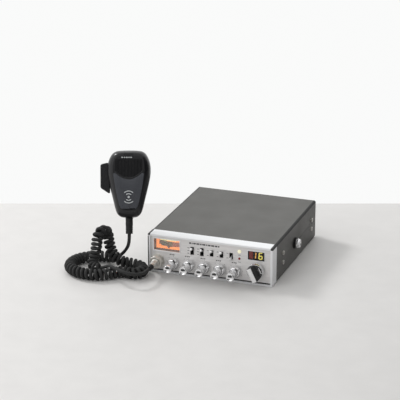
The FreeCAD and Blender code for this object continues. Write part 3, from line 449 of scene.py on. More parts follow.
def blend_outline(first, second, share):
    """An outline that lies a share of the way from the first to the second."""
    return [(a[0] + (b[0] - a[0]) * share, a[1] + (b[1] - a[1]) * share)
            for a, b in zip(first, second)]


def shrink(outline, share):
    """Draw an outline in towards its middle."""
    middle_x = sum(x for x, z in outline) / len(outline)
    middle_z = sum(z for x, z in outline) / len(outline)
    return [(middle_x + (x - middle_x) * share, middle_z + (z - middle_z) * share)
            for x, z in outline]


def shell(name, outer, inner, levels, crown, node):
    """Loft half of the microphone's shell from its seam to its crowned outer face."""
    rings = [(depth, blend_outline(outer, inner, share)) for depth, share in levels]
    flat_depth = levels[-1][0]
    for share in CROWN_SHARES:
        rings.append((flat_depth + crown * (1 - share), shrink(inner, share)))
    verts = [(x, depth, z) for depth, ring in rings for x, z in ring]
    shape = verts, ring_faces(len(rings), len(outer))
    piece = microphone_piece(name, shape, "shell_moulding")
    cutter = microphone_piece("lever_slot_cutter", block(*LEVER_SLOT), "shell_moulding",
                              smooth=False)
    apply_modifier(piece, "BOOLEAN", operation="DIFFERENCE", object=cutter, solver="EXACT")
    piece.data.shade_smooth()
    piece.data.set_sharp_from_angle(angle=SHARP_ANGLE)
    bpy.data.objects.remove(cutter)
    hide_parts(node)


def grille_floor(x):
    """Height of the grille's rounded lower edge at a place across."""
    return 56.8 + 10.5 * (abs(x) / 20) ** 2


def arc_band(radius, facing):
    """The outline of one curved line of the emblem, facing up (90) or down (270)."""
    half_line, half_angle, steps = 0.62, 46, 14
    arc = [math.radians(facing - half_angle + 2 * half_angle * step / steps)
           for step in range(steps + 1)]
    sides = ((radius + half_line, arc), (radius - half_line, reversed(arc)))
    return [(reach * math.cos(a), EMBLEM_MIDDLE + reach * math.sin(a))
            for reach, angles in sides for a in angles]


class TRANSCEIVER_OT_microphone(bpy.types.Operator):
    """Add the microphone's shells, grille, panel, emblem, talk lever and boot"""

    bl_idname = "transceiver.microphone"
    bl_label = "Hand microphone"

    def execute(self, context):
        seam, face, back = [full_outline(half) for half in (SHELL_SEAM, SHELL_FACE, SHELL_BACK)]
        shell("mic_front", seam, face, FRONT_RINGS, FRONT_CROWN, "mic_front_shell")
        shell("mic_back", seam, back, BACK_RINGS, BACK_CROWN, "mic_back_shell")
        dark_strip = slab(shrink(seam, 0.985), -0.35, 0.6)
        microphone_piece("mic_seam", dark_strip, "black_rubber")
        self.add_grille(face)
        self.add_lip()
        self.add_panel(face)
        self.add_emblem()
        self.add_lever()
        self.add_boot()
        return {"FINISHED"}

    def add_grille(self, face):
        """Upright ribs over the upper face."""
        inset = shrink(face, 0.9)
        pitch, rib, highest, gap = 2.0, 1.05, 83.5, 1.5
        parts = []
        for number in range(-9, 10):
            x = number * pitch
            top = min(highest, max(z for other, z in inset if abs(abs(other) - abs(x)) < 2.5))
            tall = top - grille_floor(x) - gap
            parts.append(slab(bar(x, top - tall / 2, rib, tall), -20.2, -18.6))
        ribs = microphone_piece("mic_grille_ribs", join_parts(parts), "grille_moulding")
        apply_modifier(ribs, "BEVEL", width=0.0003, segments=2)
        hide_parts("mic_grille")

    def add_lip(self):
        """A round bead along the grille's lower edge."""
        steps, sides, radius, reach = 16, 8, 0.75, 19.2
        across = [-reach + 2 * reach * step / steps for step in range(steps + 1)]
        points = [Vector((x, -19.75, grille_floor(x))) for x in across]
        depth = Vector((0, 1, 0))
        verts = []
        for row, point in enumerate(points):
            heading = (points[min(row + 1, steps)] - points[max(row - 1, 0)]).normalized()
            side = heading.cross(depth).normalized()
            for index in range(sides):
                angle = 2 * math.pi * index / sides
                verts.append(point + radius * (math.cos(angle) * side + math.sin(angle) * depth))
        shape = verts, ring_faces(len(points), sides)
        microphone_piece("mic_grille_lip", shape, "shell_moulding")

    def add_panel(self, face):
        """The smooth lighter panel below the grille."""
        steps, reach, lowest = 14, 18.6, 14.0
        across = [reach - 2 * reach * step / steps for step in range(steps + 1)]
        top = [(x, grille_floor(x) - 1.6) for x in across]
        ceiling = top[0][1] - 0.5
        lower = [(x * 0.98, max(z, lowest)) for x, z in face if max(z, lowest) < ceiling]
        right = sorted((point for point in lower if point[0] > 0), key=lambda point: point[1])
        left = sorted((point for point in lower if point[0] <= 0), key=lambda point: -point[1])
        panel = microphone_piece("mic_lower_panel", slab(right + top + left, -19.95, -18.4),
                                 "panel_moulding")
        apply_modifier(panel, "BEVEL", width=0.0005, segments=3, limit_method="ANGLE")
        panel.data.shade_smooth()
        panel.data.set_sharp_from_angle(angle=math.radians(50))

    def add_emblem(self):
        """A plain mark of sound waves about a dot, and a short broken line near the top."""
        outer = sizes().emblem / MM
        dot, corners = 1.6, 16
        angles = [2 * math.pi * step / corners for step in range(corners)]
        marks = [arc_band(radius, facing) for radius in (outer, outer * 0.55)
                 for facing in (90, 270)]
        marks.append([(dot * math.cos(a), EMBLEM_MIDDLE + dot * math.sin(a)) for a in angles])
        parts = [slab(outline, -20.5, -19.6) for outline in marks]
        for x, wide in ((-8.8, 2.2), (-5.6, 1.8), (-2.6, 2.4), (0.6, 1.8), (3.6, 2.2)):
            parts.append(slab(bar(x, TOP_LINE, wide, 1.5), -20.3, -19.2))
        microphone_piece("mic_emblem", join_parts(parts), "emblem_grey")

    def add_lever(self):
        """The talk lever, with shallow upright ridges on its front."""
        lever = microphone_piece("talk_lever", slab(LEVER_OUTLINE, -6.0, 6.0), "shell_moulding",
                                 "ptt_lever")
        apply_modifier(lever, "BEVEL", width=0.0011, segments=3, limit_method="ANGLE")
        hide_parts("ptt_lever")
        ridges = [slab(bar(x, 59.5, 0.9, 27.0), -6.35, -5.8) for x in (-37.6, -35.2, -32.8)]
        microphone_piece("talk_lever_ridges", join_parts(ridges), "shell_moulding", "ptt_lever")

    def add_boot(self):
        """The ribbed strain relief below the shell."""
        rows, grooves, groove_depth = 40, 9, 0.35
        rise, length = 5.0, 27.0
        profile = [(0.8, 0)]
        for row in range(rows + 1):
            share = row / rows
            in_groove = 0.12 < share < 0.95 and math.cos(share * math.pi * 2 * grooves) < -0.2
            profile.append((5.4 - 0.4 * share - groove_depth * in_groove, -length * share))
        profile.append((2.6, -length))
        upright = (microphone_matrix() @ Matrix.Translation((0, 0, rise))
                   @ Matrix.Rotation(math.pi / 2, 4, "X"))
        boot = add_piece("mic_boot_ribbed", lathe((0, 0, 0), profile, segments=40),
                         finish("black_rubber"), "microphone", matrix=upright)
        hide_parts("mic_boot")


# Knobs

SMALL_KNOBS = ("calibrate_knob", "volume_knob", "squelch_knob", "mic_gain_knob", "rf_gain_knob")
GRIP_LEAN = math.radians(26)


def add_small_knob(node):
    """A chrome knob: ribbed skirt, waist, ribbed barrel and a dished front with a pointer line."""
    centre = middle(node)
    back, tip = KNOB_BACK / MM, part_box(node)[0][1] / MM
    profile = [(8.3, back), (8.5, back - 0.4), (8.5, back - 3.0), (7.9, back - 3.6),
               (7.2, back - 5.4), (5.6, back - 6), (5.3, tip + 12.4), (5.4, tip + 11.4),
               (6.0, tip + 10.6), (6.0, tip + 1.4), (5.7, tip + 0.5), (5.2, tip),
               (4.4, tip + 0.1), (3.9, tip + 0.5), (2.4, tip + 0.9), (0.3, tip + 1.0)]
    shape = lathe(centre, in_metres(profile), ribs=sizes().knob_ribs, rib_rows=(1, 2, 8, 9),
                  rib_depth=0.28 * MM)
    knob = add_piece(f"{node}_turned", shape, finish("bright_chrome"), node)
    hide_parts(node)
    pointer = slab(bar(centre[0], centre[2] + 1.2 * MM, 5.0 * MM, 1.5 * MM),
                   (tip - 0.05) * MM, (tip + 1.2) * MM)
    band = [(5.25, back - 5.95), (5.72, back - 6.1), (5.72, back - 7.3), (5.25, back - 7.5)]
    for name, shape in (("pointer", pointer), ("band", lathe(centre, in_metres(band), segments=48))):
        add_piece(f"{node}_{name}", shape, finish("black_moulding"), node)


class TRANSCEIVER_OT_knobs(bpy.types.Operator):
    """Add the five small knobs"""

    bl_idname = "transceiver.knobs"
    bl_label = "Small knobs"

    def execute(self, context):
        for node in SMALL_KNOBS:
            add_small_knob(node)
        return {"FINISHED"}


class TRANSCEIVER_OT_channel_knob(bpy.types.Operator):
    """Add the channel knob: its skirt, face, ridges, tapered grip and the strip on it"""

    bl_idname = "transceiver.channel_knob"
    bl_label = "Channel knob"

    def execute(self, context):
        switch = middle("channel_switch")
        centre = Vector((switch[0], 0, switch[2]))
        tilt = Matrix.Translation(centre) @ Matrix.Rotation(-GRIP_LEAN, 4, "Y")
        back, tip = KNOB_BACK / MM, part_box("channel_knob")[0][1] / MM
        profile = [(12.0, back), (12.2, back - 0.4), (12.2, back - 5.5), (11.4, back - 6.8),
                   (9.6, back - 7.6), (0.4, back - 7.8)]
        shape = lathe(centre, in_metres(profile), ribs=36, rib_rows=(1, 2), rib_depth=0.3 * MM)
        skirt = self.add_part("skirt", shape, "bright_chrome", None)
        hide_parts("channel_knob")
        self.add_part("grip", self.grip(back - 7.4, tip), "black_moulding", tilt)
        shape = slab(bar(0, 0, 6.6 * MM, 20.8 * MM), (tip - 0.1) * MM, (tip + 0.5) * MM)
        strip = self.add_part("strip", shape, "satin_aluminium", tilt)
        apply_modifier(strip, "BEVEL", width=0.0003, segments=2)
        profile = [(11.2, back - 6.9), (9.7, back - 7.95), (0.3, back - 8.0)]
        self.add_part("face", lathe((0, 0, 0), in_metres(profile), segments=48), "black_moulding",
                      tilt)
        self.add_part("ridges", self.ridges(back), "bright_chrome", tilt, smooth=False)
        return {"FINISHED"}

    def add_part(self, name, shape, material, matrix, smooth=True):
        """One piece of the knob."""
        return add_piece(f"channel_knob_{name}", shape, finish(material), "channel_knob",
                         smooth, matrix)

    def grip(self, root, tip):
        """A tapered bar across the skirt with grooves along both sides."""
        half, taper, grooves = 10.8, 0.8, 12
        outline = []
        for index in range(grooves + 1):
            share = index / grooves
            inset = 0.45 if index % 2 else 0
            outline.append((4.2 - 0.8 * share - inset, root + (tip + 1.0 - root) * share))
        outline += [(3.0, tip), (-3.0, tip)]
        outline += [(-x, y) for x, y in reversed(outline[:-2])]
        ends = ((-half, 0.86), (-half + taper, 1), (half - taper, 1), (half, 0.86))
        verts = [(x * share * MM, y * MM, place * MM) for place, share in ends for x, y in outline]
        return verts, ring_faces(len(ends), len(outline))

    def ridges(self, back):
        """Three bright ridges on the face on each side of the grip."""
        parts = []
        for place in (5.4, 7.4, 9.3):
            reach = 0.9 * math.sqrt(10.6 ** 2 - place ** 2) * MM
            for side in (-1, 1):
                outline = bar(side * place * MM, 0, 0.95 * MM, 2 * reach)
                parts.append(slab(outline, (back - 8.8) * MM, (back - 7.2) * MM))
        return join_parts(parts)


# Front panel


class TRANSCEIVER_OT_panel_marks(bpy.types.Operator):
    """Add the printed marks on the faceplate, and black strips for the painted shade below it and
    along the cover's bends, the bezel's dark corners and the painted dark reflection down its left
    edge
    """

    bl_idname = "transceiver.panel_marks"
    bl_label = "Panel marks"

    def execute(self, context):
        bars = self.knob_marks() + self.switch_marks() + self.title_line()
        lamp = middle("receive_lamp")
        bars += [bar(lamp[0], lamp[2] + row * MM, 4 * MM, 0.6 * MM) for row in (-5.2, -15.6)]
        parts = [slab(outline, PRINT_FRONT, PRINT_BED) for outline in bars]
        add_piece("panel_print", join_parts(parts), finish("grey_print"), "radio",
                  smooth=False)
        # A black strip along the faceplate's lower edge: painted shade in the recess above the
        # bezel's lower lip.
        low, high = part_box("faceplate")
        dark_strip = plate(low[0], high[0], low[2] - 0.1 * MM, low[2] + 1.5 * MM, FACE - 0.15 * MM,
                       FACE + 0.2 * MM)
        self.add_black("lower_gasket", dark_strip, smooth=False)
        # Black skins over both long bends of the top cover: painted shade.
        self.add_black("cover_edge_trims", join_parts([self.edge_trim(side) for side in (-1, 1)]))
        self.add_dark_corners_and_reflection_line()
        return {"FINISHED"}

    def add_black(self, name, shape, smooth=True):
        """A black piece of the radio; these pieces paint shade and a dark reflection, and darken the
        bezel's corners.
        """
        return add_piece(name, shape, finish("black_moulding"), "radio", smooth)

    def knob_marks(self):
        """Ticks round each small knob, and three bars in place of its name."""
        bars = []
        for node in SMALL_KNOBS:
            centre = middle(node)
            x, z = centre[0], centre[2]
            for step in range(7):
                angle = math.radians(-30 + 40 * step)
                place = (x + 10.4 * MM * math.cos(angle), z + 10.4 * MM * math.sin(angle))
                if place[1] > 4.4 * MM:
                    bars.append(bar(*place, 0.35 * MM, 1.2 * MM, angle - math.pi / 2))
            for offset, wide in ((-4.6, 2.0), (-2.0, 1.4), (0.4, 2.0)):
                bars.append(bar(x + offset * MM, z + 12.6 * MM, wide * MM, 1.4 * MM))
        return bars

    def switch_marks(self):
        """A short bar beside each toggle lever's places: three for the first two, else two."""
        return [bar(middle(f"toggle_lever_{number}")[0] - 5.6 * MM, LEVER_ROW + row * MM,
                    2.6 * MM, 0.7 * MM)
                for number in range(1, 6) for row in ((-4, 0, 4) if number < 3 else (-3.5, 3.5))]

    def title_line(self):
        """A broken line in place of the words over the switches."""
        left, bars = -31.0, []
        for wide in (3.0, 1.2, 3.6, 4.4, 2.2, 4.8, 1.8, 3.6, 4.6, 3.4, 2.0):
            bars.append(bar((left + wide / 2) * MM, 49.4 * MM, wide * MM, 2.1 * MM))
            left += wide + 1.0
        return bars

    def edge_trim(self, side):
        """A black skin over one long bend of the top cover: painted shade along its rolled edge."""
        low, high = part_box("top_cover")
        bend, skin, steps = 3.0 * MM, 0.12 * MM, 8
        centre = (side * (high[0] - bend), high[2] - bend)
        angles = [math.pi / 2 * (0.06 + 0.94 * step / steps) for step in range(steps + 1)]
        sweep = ((bend + skin, angles), (bend - skin, reversed(angles)))
        outline = [(centre[0] + side * radius * math.cos(angle),
                    centre[1] + radius * math.sin(angle))
                   for radius, turns in sweep for angle in turns]
        return slab(outline, low[1], high[1])

    def add_dark_corners_and_reflection_line(self):
        """Black pieces on the bezel's two upper corners, and a black line down its left edge: a
        painted dark reflection.
        """
        reach, lift, line = 3.6 * MM, 0.12 * MM, 1.5 * MM
        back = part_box("front_bezel")[1][1]
        top, edge = CASE_HEIGHT + lift, HALF_WIDTH + lift
        parts = []
        for side in (-1, 1):
            outline = [(edge - reach, top), (edge - 1.6 * MM, top), (edge - 0.5 * MM, top - 0.5 * MM),
                       (edge, top - 1.6 * MM), (edge, top - reach * 0.8),
                       (edge - reach, top - reach * 0.8)]
            parts.append(slab([(side * x, z) for x, z in outline], FRONT - 0.15 * MM,
                              back - 0.1 * MM))
        # The black line down the left edge is a painted dark reflection.
        parts.append(plate(-edge, -edge + line, 3 * MM, CASE_HEIGHT - reach, FRONT - 0.15 * MM,
                           FRONT + 2 * MM))
        dark_pieces = self.add_black("bezel_corner_caps", join_parts(parts))
        apply_modifier(dark_pieces, "BEVEL", width=0.0003, segments=2, limit_method="ANGLE")


# Bands of the meter's card: first and last place across, top and bottom, colour, strength.
METER_BANDS = {
    "brown": ((0.12, 0.20, 0.30, 0.66), (0.16, 0.05, 0.015), 0.15),
    "green": ((0.20, 0.42, 0.28, 0.76), (0.05, 0.075, 0.03), 0.1),
    "olive": ((0.42, 0.64, 0.34, 0.80), (0.15, 0.085, 0.02), 0.15),
    "red": ((0.64, 0.95, 0.38, 0.78), (0.34, 0.07, 0.035), 0.3),
    "glow": ((0.16, 0.80, 0.19, 0.29), (0.92, 0.84, 0.42), 0.9),
}


class TRANSCEIVER_OT_meter(bpy.types.Operator):
    """Add the meter's lit card and graduations, and the rims of both windows"""

    bl_idname = "transceiver.meter"
    bl_label = "Signal meter"

    def execute(self, context):
        low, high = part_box("meter_scale")
        ink, bed = low[1] - 0.1 * MM, low[1] + 0.2 * MM
        wide, tall = high[0] - low[0], high[2] - low[2]

        def on_card(u, v):
            """A place on the arched scale: shares across from the left and down from the top."""
            arch = 0.07 * tall * (1 - math.cos((u - 0.42) * 2.6))
            return low[0] + u * wide, high[2] - v * tall + arch

        steps = 8
        for name, ((first, last, top, bottom), colour, strength) in METER_BANDS.items():
            along = [first + (last - first) * step / steps for step in range(steps + 1)]
            outline = [on_card(u, top) for u in along] + [on_card(u, bottom) for u in reversed(along)]
            self.add_lit(f"meter_{name}_band", slab(outline, ink, bed), f"scale_{name}", colour,
                         strength)
        marks = []
        for step in range(15):
            down, length = (0.38, 1.4) if step % 3 else (0.34, 2.2)
            x, z = on_card(0.13 + 0.06 * step, down)
            marks.append(slab(bar(x, z, 0.35 * MM, length * MM), ink - 0.05 * MM, ink))
        self.add_lit("meter_graduations", join_parts(marks), "scale_marks", (0.75, 0.55, 0.25), 0.5)
        rims = self.window_rim("meter_lens", 1.3) + self.window_rim("display_window", 0.7)
        rim = add_piece("window_rims", join_parts(rims), finish("satin_silver_paint"), "radio")
        apply_modifier(rim, "BEVEL", width=0.0002, segments=2)
        return {"FINISHED"}

    def add_lit(self, name, shape, material, colour, strength):
        """A glowing piece on the meter's card."""
        add_piece(name, shape, lit(material, colour, strength), "radio", smooth=False)

    def window_rim(self, node, wide):
        """Four bars round a window."""
        low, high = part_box(node)
        edge, gap = wide * MM, 0.05 * MM
        x0, x1, z0, z1 = low[0] - gap, high[0] + gap, low[2] - gap, high[2] + gap
        sides = ((x0 - edge, x1 + edge, z1, z1 + edge), (x0 - edge, x1 + edge, z0 - edge, z0),
                 (x0 - edge, x0, z0, z1), (x1, x1 + edge, z0, z1))
        return [plate(*side, FACE - 0.5 * MM, FACE + 0.2 * MM) for side in sides]


SEGMENTS = {"1": "bc", "6": "acdefg"}


def digit(text, x, z, tall, wide, y):
    """A lit digit of straight segments, leaning a little to the right."""
    thick, half, lean = 0.17 * tall, tall / 2, 0.08
    places = {"a": (0, half, 1), "g": (0, 0, 1), "d": (0, -half, 1), "b": (wide / 2, half / 2, 0),
              "c": (wide / 2, -half / 2, 0), "f": (-wide / 2, half / 2, 0),
              "e": (-wide / 2, -half / 2, 0)}
    parts = []
    for letter in SEGMENTS[text]:
        along, up, level = places[letter]
        size = (wide - 0.4 * thick, thick) if level else (thick, half - 0.4 * thick)
        outline = [(px + (pz - z) * lean, pz) for px, pz in bar(x + along, z + up, *size)]
        parts.append(slab(outline, y, y + 0.3 * MM))
    return join_parts(parts)


class TRANSCEIVER_OT_display(bpy.types.Operator):
    """Add the channel display's digits and red area behind its window"""

    bl_idname = "transceiver.display"
    bl_label = "Channel display"

    def execute(self, context):
        low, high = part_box("channel_display")
        y = low[1] - 0.16 * MM
        mid_z = (low[2] + high[2]) / 2
        for text, along, colour in (("1", 8.4, (0.85, 0.42, 0.10)), ("6", 17.8, "digits")):
            shape = digit(text, low[0] + along * MM, mid_z, 9 * MM, 4.6 * MM, y)
            self.add_lit(f"channel_digit_{text}", shape, f"digit_{text}_light", colour, 1.5)
        area = plate(low[0] + 1 * MM, low[0] + 6.6 * MM, low[2] + 1 * MM, high[2] - 1 * MM, y,
                     y + 0.1 * MM)
        self.add_lit("display_red_area", area, "display_red", (0.30, 0.03, 0.02), 0.5)
        return {"FINISHED"}

    def add_lit(self, name, shape, material, colour, strength):
        """A glowing piece on the display."""
        add_piece(name, shape, lit(material, colour, strength), "radio",
                  smooth=False)


# Levers, plug and hardware

LEVER_PIVOT = 6.5 * MM
LEVER_ROW = 38 * MM
LEVER_PROFILE = [(0.2, 1.6), (1.1, 1.2), (1.6, 0), (1.1, -1.2), (0.9, -2.2), (1.1, -4.5),
                 (1.75, -9.5), (1.95, -11.4), (1.6, -12.3), (0.3, -12.6)]
SCREW_PLACES = [(y * MM, z * MM) for y in (-58, 82) for z in (34.5, 20.5)]


class TRANSCEIVER_OT_levers(bpy.types.Operator):
    """Add the five bat levers"""

    bl_idname = "transceiver.levers"
    bl_label = "Toggle levers"

    def execute(self, context):
        for number in range(1, 6):
            node = f"toggle_lever_{number}"
            tilt = math.radians(20 if number == 5 else -20)
            place = (Matrix.Translation((middle(node)[0], FACE + LEVER_PIVOT, LEVER_ROW))
                     @ Matrix.Rotation(tilt, 4, "X") @ Matrix.Scale(MM, 4))
            lever = add_piece(f"{node}_bat", lathe((0, 0, 0), LEVER_PROFILE, segments=24),
                              finish("satin_aluminium"), node, matrix=place)
            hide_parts(node)
        return {"FINISHED"}


class TRANSCEIVER_OT_hardware(bpy.types.Operator):
    """Add the coupling ring, the plug's shell, the bolts and the painted shade in the screws' cross
    recesses
    """

    bl_idname = "transceiver.hardware"
    bl_label = "Hardware"

    def execute(self, context):
        self.add_ring()
        self.add_plug_shell()
        for name, side in (("right", 1), ("left", -1)):
            self.add_bolt(f"bracket_bolt_{name}", side)
        self.add_recess_shade()
        return {"FINISHED"}

    def add_ring(self):
        """The knurled coupling ring, open at both ends."""
        low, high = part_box("coupling_ring")
        outer = (high[0] - low[0]) / 2 / MM
        front, back = low[1] / MM, high[1] / MM
        profile = [(8.05, back), (outer - 0.5, back), (outer, back - 0.7), (outer, front + 0.7),
                   (outer - 0.6, front), (6.85, front), (6.85, front + 0.9), (8.05, front + 0.9),
                   (8.05, back)]
        verts, faces = lathe(middle("coupling_ring"), in_metres(profile), ribs=44, rib_rows=(2, 3),
                             rib_depth=0.3 * MM)
        open_faces = faces[:-2]
        ring = add_piece("coupling_ring_knurled", (verts, open_faces), finish("nickel_plate"),
                         "coupling_ring")
        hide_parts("coupling_ring")

    def add_plug_shell(self):
        """A stepped shell that narrows towards the cord."""
        low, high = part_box("plug_shell")
        back, tail = high[1] / MM, low[1] / MM
        profile = [(0.3, back), (7.6, back), (7.6, back - 0.7), (6.3, back - 1.0),
                   (6.1, back - 4.2), (5.4, back - 4.8), (5.4, back - 5.6), (5.0, back - 6.2),
                   (4.7, back - 11.5), (4.9, back - 12), (4.9, back - 13.2), (4.4, back - 13.8),
                   (4.3, tail), (0.3, tail)]
        shape = lathe(middle("plug_shell"), in_metres(profile), segments=48)
        plug = add_piece("plug_shell_stepped", shape, finish("nickel_plate"), "microphone")
        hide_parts("plug_shell")

    def add_bolt(self, node, side):
        """A flanged head with a ribbed rim, on its shank."""
        low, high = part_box(node)
        centre = middle(node)
        tip = high[0] if side > 0 else low[0]
        turn = (Matrix.Translation((tip, centre[1], centre[2]))
                @ Matrix.Rotation(side * math.pi / 2, 4, "Z"))
        profile = [(6.4, 5.7), (7.0, 5.2), (7.0, 3.4), (6.3, 2.6), (6.3, 0.9), (5.8, 0.1),
                   (4.2, 0), (3.8, 0.5), (0.3, 0.7)]
        shape = lathe((0, 0, 0), in_metres(profile), ribs=30, rib_rows=(3, 4), rib_depth=0.3 * MM)
        head = add_piece(f"{node}_head", shape, finish("bright_chrome"), node,
                         matrix=turn)
        profile = [(2.5, 5.6), (2.5, 13.5), (2.2, 14)]
        add_piece(f"{node}_shank", lathe((0, 0, 0), in_metres(profile), segments=24),
                  finish("nickel_plate"), node, matrix=turn)
        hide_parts(node)

    def add_recess_shade(self):
        """Black crosses on the cover screws: painted shade in their cross recesses."""
        long, short = 1.9 * MM, 0.5 * MM
        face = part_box("cover_screws")[1][0]
        parts = []
        for y, z in SCREW_PLACES:
            for side in (-1, 1):
                ends = (side * (face - 0.5 * MM), side * (face + 0.03 * MM))
                for wide, tall in ((long, short), (short, long)):
                    parts.append(block(ends, (y - wide, y + wide), (z - tall, z + tall)))
        add_piece("screw_recesses", join_parts(parts), finish("black_moulding"), "radio",
                  smooth=False)


class TRANSCEIVER_OT_finishes(bpy.types.Operator):
    """Give every carried-over frame node its finish"""

    bl_idname = "transceiver.finishes"
    bl_label = "Finishes"

    def execute(self, context):
        for entry in frame["record"]["subparts"]:
            node = frame["nodes"][entry["node"]]
            material = slot_finish(entry["material_slot"])
            node.data.materials.clear()
            node.data.materials.append(material)
        return {"FINISHED"}


# Cord

# Control points of the cord's route, the same as the frame's, from the boot to the plug.
MIC_LEAD = [(-0.1175, -0.111, 0.055), (-0.1166, -0.1135, 0.0464), (-0.119, -0.1123, 0.0362),
            (-0.1276, -0.1045, 0.0246), (-0.137, -0.098, 0.015)]
CURLY_CORD = [(-0.145, -0.095, 0.01), (-0.154, -0.0935, 0.0084), (-0.17, -0.095, 0.0084),
              (-0.187, -0.104, 0.0084), (-0.198, -0.122, 0.0084), (-0.197, -0.144, 0.0084),
              (-0.182, -0.16, 0.0084), (-0.162, -0.165, 0.0084), (-0.142, -0.162, 0.0084),
              (-0.127, -0.148, 0.0084), (-0.116, -0.136, 0.0084), (-0.1, -0.143, 0.0084),
              (-0.089, -0.129, 0.0084), (-0.098, -0.112, 0.0084), (-0.113, -0.11, 0.01),
              (-0.128, -0.115, 0.0125), (-0.142, -0.114, 0.021), (-0.15, -0.1085, 0.038),
              (-0.152, -0.1077, 0.0555), (-0.158, -0.1268, 0.0575), (-0.1598, -0.13, 0.038),
              (-0.161, -0.1305, 0.028), (-0.1635, -0.137, 0.014), (-0.157, -0.144, 0.0096),
              (-0.147, -0.145, 0.012)]
PLUG_LEAD = [(-0.140, -0.146, 0.015), (-0.132, -0.151, 0.020), (-0.121, -0.160, 0.0215),
             (-0.105, -0.168, 0.0205), (-0.090, -0.168, 0.0185), (-0.0795, -0.158, 0.0172),
             (-0.078, -0.146, 0.017), (-0.078, -0.138, 0.017)]
LEAD_STEP = 0.003


def distances(line):
    """Return how far along the line each of its points lies."""
    travelled = [0.0]
    for before, after in zip(line, line[1:]):
        travelled.append(travelled[-1] + (after - before).length)
    return travelled


def nearest_distance(line, travelled, place):
    """Return how far along the line its point nearest to a place lies."""
    return min(zip(line, travelled), key=lambda pair: (pair[0] - Vector(place)).length)[1]


def walk(line, travelled, distance, start):
    """Return the point and heading at a distance along the line, looking onward from an index."""
    index = start
    while index < len(line) - 2 and travelled[index + 1] < distance:
        index += 1
    span = max(travelled[index + 1] - travelled[index], 1e-9)
    part = (distance - travelled[index]) / span
    heading = (line[index + 1] - line[index]).normalized()
    return line[index].lerp(line[index + 1], part), heading, index


def curly_path():
    """The wire's own line: straight leads at both ends and even turns round the route between."""
    line = smooth_line(MIC_LEAD + CURLY_CORD + PLUG_LEAD)
    travelled = distances(line)
    begin = nearest_distance(line, travelled, CURLY_CORD[0])
    end = nearest_distance(line, travelled, CURLY_CORD[-1])
    per_turn = sizes().turn_points
    reach = (sizes().coil - sizes().wire) / 2 / math.cos(math.pi / per_turn)
    step = sizes().pitch / per_turn
    ramp = sizes().pitch * 1.1
    points = []
    side = Vector((0, 0, 1))
    distance = turned = 0.0
    index = 0
    while distance < travelled[-1]:
        centre, heading, index = walk(line, travelled, distance, index)
        side = (side - heading * side.dot(heading)).normalized()
        across = heading.cross(side)
        if begin < distance < end:
            fade = min(1.0, (distance - begin) / ramp, (end - distance) / ramp)
            radius = reach * math.sin(fade * math.pi / 2)
            turned += 2 * math.pi / per_turn
            points.append(centre + radius * (math.cos(turned) * side + math.sin(turned) * across))
            distance += step
        else:
            points.append(centre)
            reaches_curl = distance < begin < distance + LEAD_STEP
            distance += begin - distance + step if reaches_curl else LEAD_STEP
    return points + [line[-1]]


class TRANSCEIVER_OT_cord(bpy.types.Operator):
    """Add the microphone's curly cord, from its boot to its plug"""

    bl_idname = "transceiver.cord"
    bl_label = "Curly cord"

    def execute(self, context):
        cord = add_curve("cord", curly_path(), 3)
        cord.data.bevel_depth = sizes().wire / 2
        cord.data.bevel_resolution = 3
        cord.data.use_fill_caps = True
        cord.data.materials.append(finish("cord_jacket"))
        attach(cord, "microphone")
        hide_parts("mic_lead", "curly_cord", "plug_lead")
        return {"FINISHED"}


# Stage

CAMERA_TURN = math.radians(19.74)
CAMERA_PLACE = Vector((0.7640, -2.2734, 0.9431))
CAMERA_TARGET = Vector((-0.09668, 0.12485, 0.028))
CAMERA_LENS, CAMERA_SENSOR = 160, 36
TABLE_SIDE, TABLE_NEAR, TABLE_FAR, TABLE_THICK = 2.4, -3.0, 0.212, 0.02
# Name, place, half width, half height and turn of each card.
CARDS = (("front_card", (0.30, -1.5, 0.15), 0.9, 0.4, CAMERA_TURN),
         ("side_card", (0.62, -0.05, 0.3), 0.75, 0.34, math.radians(90)))
# Name, place, power and size of each light.
LIGHTS = (("key", (-3.9, 1.2, 3.4), 125, 1.15), ("fill", (-2.4, -3.9, 2.8), 30, 3.2))
ROOM_COLOUR = (0.955, 0.96, 0.955, 1)


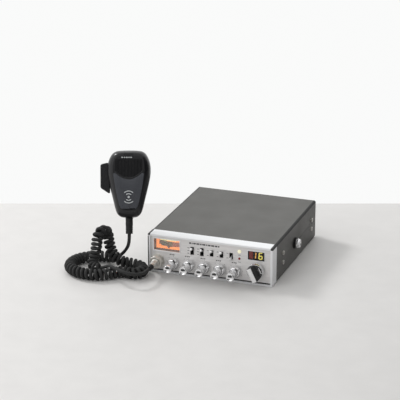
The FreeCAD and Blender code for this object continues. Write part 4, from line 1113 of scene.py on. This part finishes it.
class TRANSCEIVER_OT_stage(bpy.types.Operator):
    """Add the pale table, the lights and the camera"""

    bl_idname = "transceiver.stage"
    bl_label = "Stage"

    def execute(self, context):
        self.add_table()
        for card in CARDS:
            self.add_card(*card)
        self.add_lights(context)
        camera_data = bpy.data.cameras.new("camera")
        camera_data.lens = CAMERA_LENS
        camera_data.sensor_width = CAMERA_SENSOR
        camera = bpy.data.objects.new("camera", camera_data)
        camera.location = CAMERA_PLACE
        aim = CAMERA_TARGET - CAMERA_PLACE
        camera.rotation_euler = aim.to_track_quat("-Z", "Y").to_euler()
        context.scene.collection.objects.link(camera)
        context.scene.camera = camera
        context.scene.view_settings.view_transform = "Standard"
        return {"FINISHED"}

    def add_stage_mesh(self, name, shape, material):
        """A mesh that belongs to the stage and not to the object."""
        verts, faces = shape
        mesh = bpy.data.meshes.new(name)
        mesh.from_pydata(verts, [], faces)
        mesh.materials.append(finish(material))
        item = bpy.data.objects.new(name, mesh)
        bpy.context.scene.collection.objects.link(item)
        return item

    def add_table(self):
        """A table top whose far edge lies behind the radio."""
        shape = block((-TABLE_SIDE, TABLE_SIDE), (TABLE_NEAR, TABLE_FAR), (-TABLE_THICK, 0))
        table = self.add_stage_mesh("table", shape, "table_top")
        table.data.transform(Matrix.Rotation(CAMERA_TURN, 4, "Z"))

    def add_card(self, name, place, half, tall, turn):
        """A dark card out of sight that darkens one side and gives bright metal contrast."""
        corners = [(-half, 0, -tall), (half, 0, -tall), (half, 0, tall), (-half, 0, tall)]
        card = self.add_stage_mesh(name, (corners, [(0, 1, 2, 3)]), "card_black")
        card.location = place
        card.rotation_euler = (0, 0, turn)
        card.visible_camera = False
        card.visible_shadow = False

    def add_lights(self, context):
        """A white room with a key light and a broad fill, both aimed at the radio."""
        world = bpy.data.worlds.new("studio")
        world.use_nodes = True
        background = world.node_tree.nodes["Background"]
        background.inputs["Color"].default_value = ROOM_COLOUR
        background.inputs["Strength"].default_value = 1.0
        context.scene.world = world
        for name, place, energy, size in LIGHTS:
            light = bpy.data.lights.new(name, "AREA")
            light.energy = energy
            light.size = size
            lamp = bpy.data.objects.new(name, light)
            lamp.location = place
            lamp.rotation_euler = (-Vector(place)).to_track_quat("-Z", "Y").to_euler()
            context.scene.collection.objects.link(lamp)


# Add-on

# The cord's operator runs last.
OPERATORS = (TRANSCEIVER_OT_finishes, TRANSCEIVER_OT_stage, TRANSCEIVER_OT_microphone,
             TRANSCEIVER_OT_knobs, TRANSCEIVER_OT_channel_knob, TRANSCEIVER_OT_panel_marks,
             TRANSCEIVER_OT_meter, TRANSCEIVER_OT_display, TRANSCEIVER_OT_levers,
             TRANSCEIVER_OT_hardware, TRANSCEIVER_OT_cord)


class TRANSCEIVER_PT_panel(bpy.types.Panel):
    """List the settings and the pieces in the sidebar."""

    bl_idname = "TRANSCEIVER_PT_panel"
    bl_label = "Transceiver"
    bl_space_type = "VIEW_3D"
    bl_region_type = "UI"
    bl_category = "Transceiver"

    def draw(self, context):
        for group in (context.scene.transceiver_colours, context.scene.transceiver_sizes):
            for name in type(group).__annotations__:
                self.layout.prop(group, name)
        for operator in OPERATORS:
            self.layout.operator(operator.bl_idname)


CLASSES = (TransceiverColours, TransceiverSizes, *OPERATORS, TRANSCEIVER_PT_panel)


def register():
    for item in CLASSES:
        bpy.utils.register_class(item)
    bpy.types.Scene.transceiver_colours = bpy.props.PointerProperty(type=TransceiverColours)
    bpy.types.Scene.transceiver_sizes = bpy.props.PointerProperty(type=TransceiverSizes)


def unregister():
    del bpy.types.Scene.transceiver_sizes
    del bpy.types.Scene.transceiver_colours
    for item in reversed(CLASSES):
        bpy.utils.unregister_class(item)


def main():
    register()
    for operator in OPERATORS:
        family, name = operator.bl_idname.split(".")
        getattr(getattr(bpy.ops, family), name)()


if __name__ == "__main__":
    main()
